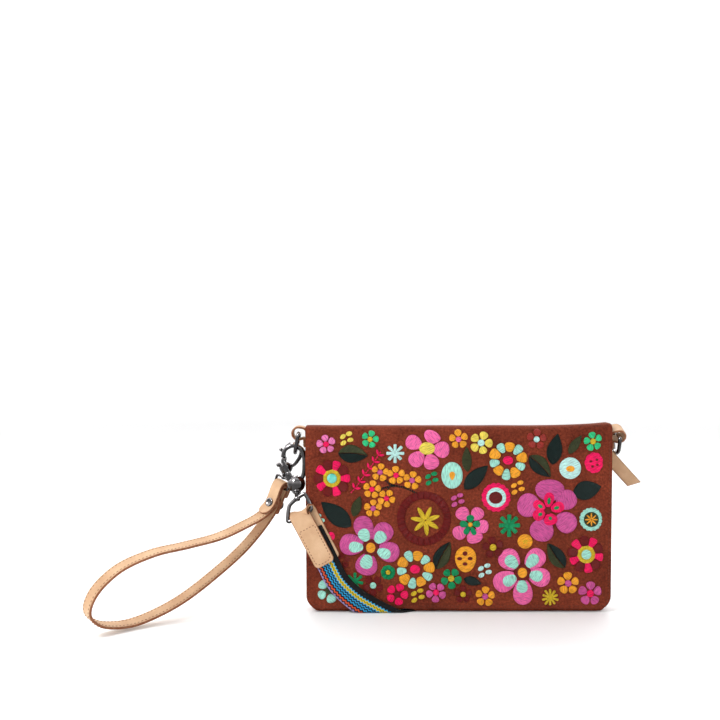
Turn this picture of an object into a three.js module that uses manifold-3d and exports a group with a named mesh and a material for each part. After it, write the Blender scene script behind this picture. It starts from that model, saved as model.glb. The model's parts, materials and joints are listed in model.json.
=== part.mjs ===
// Wristlet wallet: a fold-over flap wallet that stands on its base, with a webbing strap and a wrist loop.
// Millimetres, +Z up, front towards -Y. The middle of the base is the origin.
import * as THREE from 'three';
import { mergeVertices } from 'three/addons/utils/BufferGeometryUtils.js';
import Module from 'manifold-3d';

// Case
const FLAP_WIDTH = 267;
const CASE_WIDTH = 264;
const CASE_TOP = 160.2;
const CORNER = 11;
const SKIN = 1.6;
const GAP = 0.3;
const FRONT_Y = -9.2;
const BACK_Y = 12;
const FLAP_Y = -12;
const FLAP_BOTTOM = 3;
const FLAP_TOP = 161.1;
const TOP_Z = 163;

// Arch in the base that lets the strap pass under
const ARCH_LEFT = -97;
const ARCH_RIGHT = -10;
const ARCH_HEIGHT = 2.6;

// Zip on the back
const ZIP_Z = 148;
const SLOT_LEFT = -124.5;
const SLOT_RIGHT = 127.5;
const SLOT_HEIGHT = 9;
const SLIDER_X = 121.9;

// Side loops and rings
const LOOP_X = 139.5;
const LOOP_Z = 154;
const LOOP_OUTER = 6.6;
const LOOP_INNER = 4.2;
const LOOP_WIDTH = 15;
const RING_HALF = 10;
const RING_DROP = 17.5;
const RING_WIRE = 1.4;
const LEFT_TILT = 10.7;
const RIGHT_TILT = 20;

// Clasps
const BALL = 7.7;
const HOOK_WIRE = 1.65;
const FRONT_BALL = [-141.6, -4, 110];
const WRIST_BALL = [-152, 14.2, 122.6];
const WRIST_SCALE = 0.78;

// Strap
const WEB_WIDTH = 20;
const WEB_THICK = 1.6;
const WEB_Y = -15.3;
const WEB_FLOOR = 0.95;
const WEB_BEND = 2.2;
const TAB_WIDTH = 18.5;
const TAB_THICK = 1.6;
const TAB_LENGTH = 47;
const HANK = { left: -112, right: 112, front: 54, back: 98, low: 0.2, high: 21.2 };

// Wrist loop, in a plane through its ring bar
const WRIST_BAR = [-156.4, 16, 104.5];
const WRIST_ACROSS = [-0.66, 0.72, 0.22];
const WRIST_WIDTH = 12.7;
const WRIST_THICK = 2.4;

const wasm = await Module();
wasm.setup();

const V = (x, y, z) => new THREE.Vector3(x, y, z);
const rad = (degrees) => (degrees * Math.PI) / 180;

const looks = {
  suede: [0x763a28, 0.95, 0],
  suedeBack: [0x6a3424, 0.95, 0],
  lining: [0x4a2a20, 0.9, 0],
  natural: [0xebc8a0, 0.6, 0],
  metal: [0x3a3a3c, 0.25, 1],
  zip: [0x3b2a22, 0.85, 0],
  webbing: [0xe0b93c, 0.9, 0],
};

const group = new THREE.Group();
group.name = 'wristlet_wallet';

function put(name, geometry, look) {
  const [color, roughness, metalness] = looks[look];
  const mesh = new THREE.Mesh(geometry, new THREE.MeshStandardMaterial({ color, roughness, metalness }));
  mesh.name = name;
  group.add(mesh);
  return mesh;
}

// ---- helpers -------------------------------------------------------------

function toSolid(geometry) {
  const plain = geometry.clone();
  plain.deleteAttribute('normal');
  plain.deleteAttribute('uv');
  const welded = mergeVertices(plain, 1e-4);
  const vertProperties = new Float32Array(welded.attributes.position.array);
  const triVerts = new Uint32Array(welded.index.array);
  return new wasm.Manifold(new wasm.Mesh({ numProp: 3, vertProperties, triVerts }));
}

function toGeometry(solid) {
  const mesh = solid.simplify(0.002).getMesh();
  const geometry = new THREE.BufferGeometry();
  geometry.setAttribute('position', new THREE.BufferAttribute(new Float32Array(mesh.vertProperties), 3));
  geometry.setIndex(new THREE.BufferAttribute(new Uint32Array(mesh.triVerts), 1));
  geometry.computeVertexNormals();
  return geometry;
}

function join(...parts) {
  return toGeometry(parts.map(toSolid).reduce((a, b) => a.add(b)));
}

function cut(geometry, ...tools) {
  return toGeometry(tools.map(toSolid).reduce((a, b) => a.subtract(b), toSolid(geometry)));
}

// A shape drawn in x and z, made solid from y = low to y = high
function plate(shape, low, high, curveSegments = 5) {
  const geometry = new THREE.ExtrudeGeometry(shape, { depth: high - low, bevelEnabled: false, curveSegments });
  return geometry.rotateX(Math.PI / 2).translate(0, high, 0);
}

function box(x0, x1, y0, y1, z0, z1) {
  return new THREE.BoxGeometry(x1 - x0, y1 - y0, z1 - z0)
    .translate((x0 + x1) / 2, (y0 + y1) / 2, (z0 + z1) / 2);
}

// A round wire along a list of points
function wire(points, radius, { closed = false, steps = 40, sides = 10 } = {}) {
  const path = new THREE.CatmullRomCurve3(points, closed, 'centripetal');
  if (closed) return new THREE.TubeGeometry(path, steps, radius, sides, true);
  const section = new THREE.Shape().absarc(0, 0, radius, 0, 2 * Math.PI);
  return new THREE.ExtrudeGeometry(section, {
    steps, bevelEnabled: false, extrudePath: path, curveSegments: sides / 2,
  });
}

// A straight bar of length 1 that is laid onto place(u, across, through)
function laid(steps, width, thick, place, acrossSteps = 1) {
  const geometry = new THREE.BoxGeometry(1, width, thick, steps, acrossSteps, 1);
  const position = geometry.attributes.position;
  for (let i = 0; i < position.count; i += 1) {
    const point = place(position.getX(i) + 0.5, position.getY(i), position.getZ(i));
    position.setXYZ(i, point.x, point.y, point.z);
  }
  return geometry;
}

// A flat strip that bends only in the plane square to its width
function strip(points, across, width, thick, steps, closed = false) {
  const path = new THREE.CatmullRomCurve3(points, closed, 'centripetal');
  path.arcLengthDivisions = 800;
  const wide = across.clone().normalize();
  return laid(steps, width, thick, (u, a, t) => {
    const out = path.getTangentAt(u).cross(wide).normalize();
    return path.getPointAt(u).addScaledVector(wide, a).addScaledVector(out, t);
  });
}

function aim(geometry, origin, zAxis, yHint) {
  const z = zAxis.clone().normalize();
  const x = yHint.clone().cross(z).normalize();
  const y = z.clone().cross(x);
  const matrix = new THREE.Matrix4().makeBasis(x, y, z).setPosition(origin);
  return geometry.applyMatrix4(matrix);
}

// ---- case ----------------------------------------------------------------

// The case's side and base outline, from top left round to top right
function casePoints(inset) {
  const half = CASE_WIDTH / 2 - inset;
  const r = CORNER - inset;
  const points = [[-half, CASE_TOP]];
  for (let i = 0; i <= 6; i += 1) {
    const a = Math.PI + (i / 6) * (Math.PI / 2);
    points.push([-half + r + r * Math.cos(a), inset + r + r * Math.sin(a)]);
  }
  points.push([ARCH_LEFT - inset, inset], [ARCH_LEFT + 4 - inset, ARCH_HEIGHT + inset]);
  points.push([ARCH_RIGHT - 4 + inset, ARCH_HEIGHT + inset], [ARCH_RIGHT + inset, inset]);
  for (let i = 0; i <= 6; i += 1) {
    const a = 1.5 * Math.PI + (i / 6) * (Math.PI / 2);
    points.push([half - r + r * Math.cos(a), inset + r + r * Math.sin(a)]);
  }
  points.push([half, CASE_TOP]);
  return points.map(([x, z]) => new THREE.Vector2(x, z));
}

function backPanel() {
  const shape = new THREE.Shape(casePoints(0));
  const r = SLOT_HEIGHT / 2;
  const slot = new THREE.Path();
  slot.absarc(SLOT_LEFT + r, ZIP_Z, r, Math.PI / 2, 1.5 * Math.PI);
  slot.absarc(SLOT_RIGHT - 2, ZIP_Z - r + 2, 2, -Math.PI / 2, 0);
  slot.absarc(SLOT_RIGHT - 2, ZIP_Z + r - 2, 2, 0, Math.PI / 2);
  slot.closePath();
  shape.holes.push(slot);
  return put('back_panel', plate(shape, BACK_Y - 1.7, BACK_Y), 'suedeBack');
}

function frontPanel() {
  return put('front_panel', plate(new THREE.Shape(casePoints(0)), FRONT_Y, FRONT_Y + 1.4), 'suede');
}

function gusset() {
  const outline = [...casePoints(0), ...casePoints(SKIN).reverse()];
  return put('gusset', plate(new THREE.Shape(outline), FRONT_Y + 1.7, BACK_Y - 2), 'suede');
}

// An inner sheet, as wide as the space inside the gusset
function innerSheet(name, low, thick, top, look) {
  const half = CASE_WIDTH / 2 - SKIN - GAP;
  const base = ARCH_HEIGHT + SKIN + GAP;
  const r = 8;
  const shape = new THREE.Shape();
  shape.moveTo(-half, top);
  shape.absarc(-half + r, base + r, r, Math.PI, 1.5 * Math.PI);
  shape.absarc(half - r, base + r, r, 1.5 * Math.PI, 2 * Math.PI);
  shape.lineTo(half, top);
  shape.closePath();
  return put(name, plate(shape, low, low + thick, 4), look);
}

function pockets() {
  innerSheet('zip_pocket_lining', 7.4, 0.7, 158, 'lining');
  innerSheet('divider', 0.6, 1.2, 142, 'lining');
  [122, 102, 82].forEach((top, i) => {
    innerSheet(`card_pocket_${i + 1}`, -0.4 - i, 0.7, top, 'natural');
  });
}

function zipTapes() {
  put('zip_tape_upper', box(-128.5, 128.5, 8.5, 9.2, ZIP_Z + 0.2, ZIP_Z + 9), 'zip');
  put('zip_tape_lower', box(-128.5, 128.5, 8.5, 9.2, ZIP_Z - 9, ZIP_Z - 0.2), 'zip');
}

function zipChain() {
  const teeth = 61;
  const pitch = 4;
  const start = -121;
  const upper = [];
  const lower = [];
  for (let i = 0; i < teeth; i += 1) {
    const x = start + i * pitch;
    upper.push([x, 1.8], [x + 0.6, 2.6], [x + 2.2, 2.6], [x + 2.8, 1.8]);
    lower.push([x + 1, -1.8], [x + 1.6, -2.6], [x + 3.2, -2.6], [x + 3.8, -1.8]);
  }
  const outline = [...upper, ...lower.reverse()].map(([x, z]) => new THREE.Vector2(x, ZIP_Z + z));
  put('zip_teeth', plate(new THREE.Shape(outline), 9.5, 11.4), 'metal');
  put('zip_stop_closed', box(126.7, 127.2, 9.5, 11.4, ZIP_Z - 2.6, ZIP_Z + 2.6), 'metal');
  put('zip_stop_open', box(-123.4, -121.6, 9.5, 11.4, ZIP_Z - 2.6, ZIP_Z + 2.6), 'metal');
}

function zipSlider() {
  const half = 4.5;
  const shell = box(SLIDER_X - half, SLIDER_X + half, 9.6, 13.4, ZIP_Z - 4.1, ZIP_Z + 4.1);
  const channel = box(SLIDER_X - 9, SLIDER_X + 9, 8, 11.9, ZIP_Z - 2.95, ZIP_Z + 2.95);
  const post = new THREE.CylinderGeometry(1.6, 1.6, 5.2, 20).translate(SLIDER_X, 15.4, ZIP_Z);
  const head = new THREE.CylinderGeometry(2.8, 2.8, 0.9, 20).translate(SLIDER_X, 17.8, ZIP_Z);
  put('zip_slider', join(cut(shell, channel), post, head), 'metal');
}

// Leather pull with a slanted end, on the slider's post
function zipPull() {
  const shape = new THREE.Shape();
  shape.moveTo(52.8, -5.75);
  shape.lineTo(58.2, 5.75);
  shape.lineTo(0, 5.75);
  shape.absarc(0, 0, 5.75, Math.PI / 2, 1.5 * Math.PI);
  shape.closePath();
  shape.holes.push(new THREE.Path().absarc(0, 0, 1.95, 0, 2 * Math.PI));
  const leather = plate(shape, 14.9, 17.2, 6).rotateY(rad(47.8)).translate(SLIDER_X, 0, ZIP_Z);
  put('zip_pull', leather, 'natural');
}

function magnets() {
  const disc = (y0, y1) => new THREE.CylinderGeometry(7, 7, y1 - y0, 28).translate(0, (y0 + y1) / 2, 24);
  put('magnet_case', disc(-7.5, -6.1), 'metal');
  put('magnet_flap', disc(-10.2, -9.6), 'metal');
}

// ---- flap ----------------------------------------------------------------

function flapShape(half, bottom, top, r) {
  const shape = new THREE.Shape();
  shape.moveTo(-half, top);
  shape.absarc(-half + r, bottom + r, r, Math.PI, 1.5 * Math.PI);
  shape.absarc(half - r, bottom + r, r, 1.5 * Math.PI, 2 * Math.PI);
  shape.lineTo(half, top);
  shape.closePath();
  return shape;
}

function flap() {
  const half = FLAP_WIDTH / 2;
  put('flap_front', plate(flapShape(half, FLAP_BOTTOM, FLAP_TOP, CORNER), FLAP_Y, FLAP_Y + 1.5), 'suede');
  const lining = flapShape(half - 2, FLAP_BOTTOM + 2, CASE_TOP, CORNER - 2);
  lining.holes.push(new THREE.Path().absarc(0, 24, 7.4, 0, 2 * Math.PI));
  put('flap_front_lining', plate(lining, -10.2, -9.6), 'lining');
  put('flap_top', box(-half, half, FLAP_Y, BACK_Y, FLAP_TOP + GAP, TOP_Z), 'suede');
  put('flap_top_lining', box(-half + 2.5, half - 2.5, -9.2, 11.7, CASE_TOP + GAP, FLAP_TOP), 'lining');
}

// ---- side loops and rings -------------------------------------------------

// Leather loop with its sewn tail, drawn for the left side
function sideLoop() {
  const reach = 5.1;
  const angle = Math.acos(reach / LOOP_OUTER);
  const rise = LOOP_OUTER * Math.sin(angle);
  const shape = new THREE.Shape();
  shape.moveTo(7.2, -15);
  shape.lineTo(7.2, 2.5);
  shape.lineTo(reach, rise);
  shape.absarc(0, 0, LOOP_OUTER, angle, 2 * Math.PI - angle);
  shape.lineTo(reach, -15);
  shape.closePath();
  shape.holes.push(new THREE.Path().absarc(0, 0, LOOP_INNER, 0, 2 * Math.PI));
  return plate(shape, -LOOP_WIDTH / 2, LOOP_WIDTH / 2, 10);
}

function sideLoops() {
  put('side_loop_left', sideLoop().translate(-LOOP_X, 0, LOOP_Z), 'natural');
  const right = sideLoop().rotateZ(Math.PI).rotateX(rad(RIGHT_TILT));
  put('side_loop_right', right.translate(LOOP_X, 0, LOOP_Z - 0.5), 'natural');
}

// D-ring hanging from its straight bar, which lies along Y
function dRing() {
  const points = [V(0, 0, 0), V(0, RING_HALF - 2.5, 0), V(0, RING_HALF, -1.2), V(0, RING_HALF, -7)];
  for (let i = 1; i < 8; i += 1) {
    const a = (i / 8) * Math.PI;
    points.push(V(0, RING_HALF * Math.cos(a), -8 - (RING_DROP - 8) * Math.sin(a)));
  }
  points.push(V(0, -RING_HALF, -7), V(0, -RING_HALF, -1.2), V(0, -RING_HALF + 2.5, 0));
  return wire(points, RING_WIRE, { closed: true, steps: 48, sides: 8 });
}

function dRings() {
  put('d_ring_left', dRing().rotateY(rad(LEFT_TILT)).translate(-LOOP_X, 0, LOOP_Z), 'metal');
  put('d_ring_right', dRing().rotateX(rad(RIGHT_TILT)).translate(LOOP_X, 0, LOOP_Z - 0.5), 'metal');
}

// ---- clasps ----------------------------------------------------------------
// Each clasp is drawn with its ball at the origin, its hook up +Z and its post down the given direction.

function ballShell() {
  const points = [[0, 1], [3.5, 1], [3.5, -4.2], [2.4, -4.2], [2.4, -7.3]];
  for (let i = 0; i <= 9; i += 1) {
    const a = -1.253 + (i / 9) * (1.253 + Math.PI / 2);
    points.push([BALL * Math.cos(a), BALL * Math.sin(a)]);
  }
  points[points.length - 1][0] = 0;
  return lathe(points, 20);
}

// Turned about Z
function lathe(points, sides) {
  return new THREE.LatheGeometry(points.map(([r, z]) => new THREE.Vector2(r, z)), sides).rotateX(Math.PI / 2);
}

function hookPlate(y0, y1) {
  const shape = new THREE.Shape();
  shape.moveTo(-2.4, 3.2);
  shape.lineTo(-4.7, 8.6);
  shape.absarc(-7, 8.2, 2.4, 0.2, Math.PI, false);
  shape.lineTo(-7, 3.2);
  shape.closePath();
  return plate(shape, y0, y1, 4);
}

function hook(postDown) {
  const bend = [V(4.6, 0, 4), V(6.6, 0, 9), V(7.3, 0, 15), V(7.1, 0, 23), V(4.6, 0, 29.8), V(-2.4, 0, 33.4)];
  bend.push(V(-9.4, 0, 30.2), V(-12, 0, 23.6));
  const shell = aim(ballShell(), V(0, 0, 0), postDown.clone().negate(), V(0, 1, 0));
  const solid = join(shell, wire(bend, HOOK_WIRE, { steps: 28, sides: 10 }), hookPlate(-2.6, 2.6));
  const slot = box(-13, -4.2, -1.35, 1.35, 5, 14);
  const pinHole = new THREE.CylinderGeometry(0.9, 0.9, 8, 16).translate(-7, 0, 8.2);
  return cut(solid, slot, pinHole);
}

function gatePin() {
  return new THREE.CylinderGeometry(0.6, 0.6, 5.2, 12).translate(-7, 0, 8.2);
}

function gate() {
  const shape = new THREE.Shape();
  shape.moveTo(-13.2, 21.8);
  shape.lineTo(-9.2, 9.2);
  shape.absarc(-7, 8.2, 2.2, Math.PI, 1.9 * Math.PI);
  shape.lineTo(-10.4, 21.8);
  shape.closePath();
  shape.holes.push(new THREE.Path().absarc(-7, 8.2, 0.9, 0, 2 * Math.PI));
  const lever = wire([V(-11, 0, 14), V(-13, 0, 15.2), V(-15.2, 0, 16.6)], 1.5, { steps: 6 });
  const cap = new THREE.SphereGeometry(2, 12, 8).translate(-15.4, 0, 16.7);
  return join(plate(shape, -1.05, 1.05, 4), lever, cap);
}

// Post with its head inside the ball, running down to a wire ring through the given corners
function swivelRing(postDown, length, corners, wireRadius) {
  const head = lathe([[0, -length], [2.1, -length], [2.1, -3.9], [3.1, -3.9], [3.1, 0.6], [0, 0.6]], 20);
  const post = aim(head, V(0, 0, 0), postDown.clone().negate(), V(0, 1, 0));
  const points = [];
  corners.forEach((corner, i) => {
    const before = corners[(i + corners.length - 1) % corners.length].clone().sub(corner).normalize();
    const after = corners[(i + 1) % corners.length].clone().sub(corner).normalize();
    const start = corner.clone().addScaledVector(before, 1.8 * wireRadius);
    const end = corner.clone().addScaledVector(after, 1.8 * wireRadius);
    points.push(start, start.clone().add(end).addScaledVector(corner, 2).multiplyScalar(0.25), end);
  });
  return join(post, wire(points, wireRadius, { closed: true, steps: 56, sides: 8 }));
}

const FRONT_RING = [V(-5.6, -7.6, -17.2), V(8, -7.6, -6.6), V(14.5, -11.3, -20.9), V(-6.9, -11.3, -32.1)];
const FRONT_POST = V(1.3, -7.6, -12.3);
const TAB_DOWN = V(0.461, 0, -0.887);
const TAB_TOP = V(4.4, -11.3, -26.1);

// Leather folded round the ring's lower bar
function strapTab() {
  const across = V(0.887, 0, 0.461);
  const down = (d, y) => TAB_TOP.clone().addScaledVector(TAB_DOWN, d).add(V(0, y, 0));
  const points = [down(TAB_LENGTH, 1.95), down(24, 1.95), down(6, 2.2), down(0, 2.8), down(-2.1, 2.1)];
  points.push(down(-2.9, 0), down(-2.1, -2.1), down(0, -2.8), down(6, -2.2), down(24, -1.95));
  points.push(down(TAB_LENGTH, -1.95));
  return strip(points, across, TAB_WIDTH, TAB_THICK, 60);
}

function clasp(suffix, matrix) {
  const place = (geometry) => geometry.applyMatrix4(matrix);
  put(`clasp_${suffix}`, place(hook(FRONT_POST)), 'metal');
  put(`gate_${suffix}`, place(gate()), 'metal');
  put(`gate_pin_${suffix}`, place(gatePin()), 'metal');
  put(`swivel_${suffix}`, place(swivelRing(FRONT_POST, 15.9, FRONT_RING, 1.3)), 'metal');
  put(`strap_tab_${suffix}`, place(strapTab()), 'natural');
}

// The far clasp lies on the floor behind the case, its tab pointing along +X
function farMatrix() {
  const lie = new THREE.Matrix4().makeRotationX(Math.PI / 2);
  const turn = new THREE.Matrix4().makeRotationZ(-rad(62.5));
  const spin = turn.multiply(lie);
  const tabEnd = TAB_TOP.clone().addScaledVector(TAB_DOWN, TAB_LENGTH).applyMatrix4(spin);
  const wanted = V(0, 128, 3.8);
  return new THREE.Matrix4().setPosition(wanted.sub(tabEnd)).multiply(spin);
}

function wristClasp() {
  const ball = V(...WRIST_BALL);
  const bar = V(...WRIST_BAR);
  const across = V(...WRIST_ACROSS).normalize();
  const ringPull = V(-142.4, 5.2, 137.8).sub(ball);
  const postDown = bar.clone().sub(ball);
  const frame = (geometry) => aim(geometry.scale(WRIST_SCALE, WRIST_SCALE, WRIST_SCALE), ball, ringPull, V(0, 1, 0));
  const inverse = new THREE.Matrix4();
  const z = ringPull.clone().normalize();
  const x = V(0, 1, 0).cross(z).normalize();
  inverse.makeBasis(x, z.clone().cross(x), z).invert();
  const localPost = postDown.clone().applyMatrix4(inverse);
  put('clasp_wrist', frame(hook(localPost)), 'metal');
  put('gate_wrist', frame(gate()), 'metal');
  put('gate_pin_wrist', frame(gatePin()), 'metal');
  const length = postDown.length() / WRIST_SCALE;
  const side = across.clone().applyMatrix4(inverse).multiplyScalar(9.4 / WRIST_SCALE);
  const down = localPost.clone().normalize();
  const high = down.clone().multiplyScalar(length * 0.52);
  const low = down.clone().multiplyScalar(length);
  const corners = [high.clone().sub(side), high.clone().add(side), low.clone().add(side), low.clone().sub(side)];
  put('swivel_wrist', frame(swivelRing(localPost, length * 0.52 + 1.9, corners, 1.6)), 'metal');
}

// ---- wrist loop ---------------------------------------------------------------

function wristFrame() {
  const across = V(...WRIST_ACROSS).normalize();
  const level = V(across.y, -across.x, 0).normalize();
  const up = across.clone().cross(level).negate();
  return { across, level, up, bar: V(...WRIST_BAR) };
}

// Loop path as level and height from the ring bar
const LOOP_PATH = [
  [-30, -50], [-62, -74], [-94, -92], [-126, -101.5], [-145, -102.5], [-166, -97], [-176, -86],
  [-173, -71], [-155, -54], [-125, -44.5], [-93, -42], [-60, -38.5], [-36, -31.5], [-20, -25.5],
];

function wristLoop() {
  const { across, level, up, bar } = wristFrame();
  const at = (h, g) => bar.clone().addScaledVector(level, h).addScaledVector(up, g);
  const along = (s, o) => at(-0.3 * s + 0.954 * o, -0.954 * s - 0.3 * o);
  const points = [along(10, 0), along(22, 0)];
  LOOP_PATH.forEach(([h, g]) => points.push(at(h, g)));
  points.push(along(19, -2.8), along(8, -2.8), along(1, -3), along(-2.2, -2.1), along(-3.1, 0));
  points.push(along(-2.2, 2.1), along(1, 3), along(8, 2.8), along(24, 2.8));
  const strap = strip(points, across, WRIST_WIDTH, WRIST_THICK, 150);
  const through = level.clone().multiplyScalar(0.954).addScaledVector(up, -0.3);
  const hole = new THREE.CylinderGeometry(1.7, 1.7, 20, 16).rotateX(Math.PI / 2);
  put('wrist_strap', cut(strap, aim(hole, along(16, 0), through, across)), 'natural');
  const profile = [[0, -6.1], [2.6, -6], [4.1, -5.2], [4.1, -4.6], [1.4, -4.6], [1.4, 4.6], [4.1, 4.6], [4.1, 5.4], [0, 5.4]];
  put('wrist_rivet', aim(lathe(profile, 24), along(16, 0), through, across), 'metal');
}

// ---- strap ---------------------------------------------------------------------

// Flat plan of the strap's front run: x, and height before it bends under
const STRAP_PLAN = [
  [-128, 71.7], [-120.7, 57.6], [-113.5, 43], [-104.5, 26.5], [-90.6, 13], [-75, 3.5],
  [-58, -5], [-43, -13], [-30.5, -21], [-25, -30],
];

function strapFront() {
  const path = new THREE.CatmullRomCurve3(STRAP_PLAN.map(([x, z]) => V(x, 0, z)), false, 'centripetal');
  const low = WEB_FLOOR + WEB_BEND;
  const arc = WEB_BEND * (Math.PI / 2);
  const geometry = laid(70, WEB_WIDTH, WEB_THICK, (u, a, t) => {
    const centre = path.getPointAt(u);
    const tangent = path.getTangentAt(u);
    const x = centre.x - a * tangent.z;
    const z = centre.z + a * tangent.x;
    const turn = Math.min(Math.max((low - z) / WEB_BEND, 0), Math.PI / 2);
    const back = Math.max(low - arc - z, 0);
    const y = WEB_Y + WEB_BEND - (WEB_BEND + t) * Math.cos(turn) + back;
    const height = Math.max(z, low) - (WEB_BEND + t) * Math.sin(turn);
    return V(x, y, height);
  }, 6);
  put('strap_front', geometry, 'webbing');
}

// A strip that turns on its own length, from the first width direction to the last
function twisted(points, turnFrom, turnTo, wideFrom, wideTo, steps) {
  const path = new THREE.CatmullRomCurve3(points, false, 'centripetal');
  return laid(steps, WEB_WIDTH, WEB_THICK, (u, a, t) => {
    const mix = THREE.MathUtils.smoothstep(u, turnFrom, turnTo);
    const tangent = path.getTangentAt(u);
    const wide = wideFrom.clone().lerp(wideTo, mix);
    wide.addScaledVector(tangent, -wide.dot(tangent)).normalize();
    const out = tangent.clone().cross(wide);
    const centre = path.getPointAt(u);
    const rest = 0.15 + (WEB_WIDTH / 2) * Math.abs(wide.z) + (WEB_THICK / 2) * Math.abs(out.z);
    centre.z = Math.max(centre.z, rest);
    return centre.addScaledVector(wide, a).addScaledVector(out, t);
  });
}

function strapBehind() {
  const link = [V(-22.3, 19.5, 0), V(-18, 28, 0), V(-12, 41, 0), V(-7, 53.2, 0)];
  put('strap_link', twisted(link, 0.05, 0.9, V(1, -0.4, 0.02), V(0, 0, 1), 20), 'webbing');
  const hank = box(HANK.left, HANK.right, HANK.front, HANK.back, HANK.low, HANK.high);
  put('strap_hank', hank, 'webbing');
  const tail = [V(112.4, 90, 0), V(122, 94, 0), V(127, 109, 0), V(122, 124, 0), V(108, 128, 0), V(80, 128, 0)];
  tail.push(V(50, 128, 0), V(22, 128, 2.2), V(4, 128, 3.8), V(-14, 128, 3.8), V(-36, 128, 3.8));
  put('strap_tail', twisted(tail, 0.32, 0.68, V(0, 0, 1), V(0, -1, 0), 50), 'webbing');
}

backPanel();
frontPanel();
gusset();
pockets();
zipTapes();
zipChain();
zipSlider();
zipPull();
magnets();
flap();
sideLoops();
dRings();
clasp('front', new THREE.Matrix4().setPosition(...FRONT_BALL));
clasp('far', farMatrix());
wristClasp();
wristLoop();
strapFront();
strapBehind();

export default group;
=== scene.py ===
"""Looks for the wristlet wallet. Lengths below are in millimetres and become metres when each mesh is built."""

import json
import math

import bmesh
import bpy
import numpy as np
from mathutils import Matrix, Vector, noise

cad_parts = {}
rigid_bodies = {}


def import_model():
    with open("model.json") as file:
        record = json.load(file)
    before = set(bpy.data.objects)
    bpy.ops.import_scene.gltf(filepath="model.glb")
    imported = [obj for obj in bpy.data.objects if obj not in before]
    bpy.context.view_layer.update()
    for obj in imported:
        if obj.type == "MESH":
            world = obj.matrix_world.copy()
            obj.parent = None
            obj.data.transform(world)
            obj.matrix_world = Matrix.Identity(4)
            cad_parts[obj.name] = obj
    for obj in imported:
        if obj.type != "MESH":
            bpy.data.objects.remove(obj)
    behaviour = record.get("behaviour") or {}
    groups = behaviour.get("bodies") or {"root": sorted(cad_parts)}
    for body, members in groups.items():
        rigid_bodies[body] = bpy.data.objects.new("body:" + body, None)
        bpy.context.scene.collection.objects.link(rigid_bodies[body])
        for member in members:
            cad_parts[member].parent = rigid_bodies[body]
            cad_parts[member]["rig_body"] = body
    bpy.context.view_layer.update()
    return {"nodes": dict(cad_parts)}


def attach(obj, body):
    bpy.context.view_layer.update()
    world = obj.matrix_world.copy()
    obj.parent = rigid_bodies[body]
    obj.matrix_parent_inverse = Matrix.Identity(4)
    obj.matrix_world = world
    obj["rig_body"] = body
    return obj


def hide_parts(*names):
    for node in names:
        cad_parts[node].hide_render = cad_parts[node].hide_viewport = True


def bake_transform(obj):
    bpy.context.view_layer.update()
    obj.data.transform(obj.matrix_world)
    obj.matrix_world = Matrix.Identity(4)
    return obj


MM = 0.001
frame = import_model()
scene = bpy.context.scene
scene.view_settings.view_transform = "Standard"


# ---- camera ------------------------------------------------------------------

def make_camera():
    data = bpy.data.cameras.new("camera")
    data.lens = 46.3
    data.sensor_width = 36
    camera = bpy.data.objects.new("camera", data)
    camera.location = (-0.086, -0.812, 0.218)
    camera.rotation_euler = (math.radians(90), 0, 0)
    scene.collection.objects.link(camera)
    scene.camera = camera


make_camera()


# ---- vectors and paths ----------------------------------------------------------

def unit(v):
    v = np.asarray(v, float)
    return v / np.linalg.norm(v)


def smoothstep(u, low, high):
    t = min(max((u - low) / (high - low), 0), 1)
    return t * t * (3 - 2 * t)


def smooth_path(points, spacing, closed=False):
    """Points along a smooth curve through the given ones, about `spacing` apart."""
    p = np.array(points, float)
    n = len(p)
    ends = [p[-1], *p, p[0], p[1]] if closed else [2 * p[0] - p[1], *p, 2 * p[-1] - p[-2]]
    ends = np.array(ends)
    dense = []
    for i in range(n if closed else n - 1):
        a, b, c, d = ends[i:i + 4]
        ab, bc, cd = (max(np.linalg.norm(q - r), 1e-6) for q, r in ((b, a), (c, b), (d, c)))
        ab, bc, cd = ab ** 0.5, bc ** 0.5, cd ** 0.5
        m1 = (c - b) + bc * ((b - a) / ab - (c - a) / (ab + bc))
        m2 = (c - b) + bc * ((d - c) / cd - (d - b) / (bc + cd))
        for t in np.linspace(0, 1, 24, endpoint=False):
            h = (2 * t**3 - 3 * t**2 + 1, t**3 - 2 * t**2 + t, -2 * t**3 + 3 * t**2, t**3 - t**2)
            dense.append(h[0] * b + h[1] * m1 + h[2] * c + h[3] * m2)
    dense.append(ends[1] if closed else ends[-2])
    return resample(np.array(dense), spacing)


def resample(p, spacing):
    gaps = np.linalg.norm(np.diff(p, axis=0), axis=1)
    run = np.concatenate([[0], np.cumsum(gaps)])
    count = max(int(round(run[-1] / spacing)), 2)
    s = np.linspace(0, run[-1], count + 1)
    return np.stack([np.interp(s, run, p[:, i]) for i in range(p.shape[1])], 1)


def tangents(p, closed=False):
    if closed:
        t = np.roll(p, -1, 0) - np.roll(p, 1, 0)
    else:
        t = np.gradient(p, axis=0)
    return t / np.maximum(np.linalg.norm(t, axis=1), 1e-9)[:, None]


def path_length(p):
    return float(np.linalg.norm(np.diff(p, axis=0), axis=1).sum())


# ---- meshes ---------------------------------------------------------------------

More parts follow.
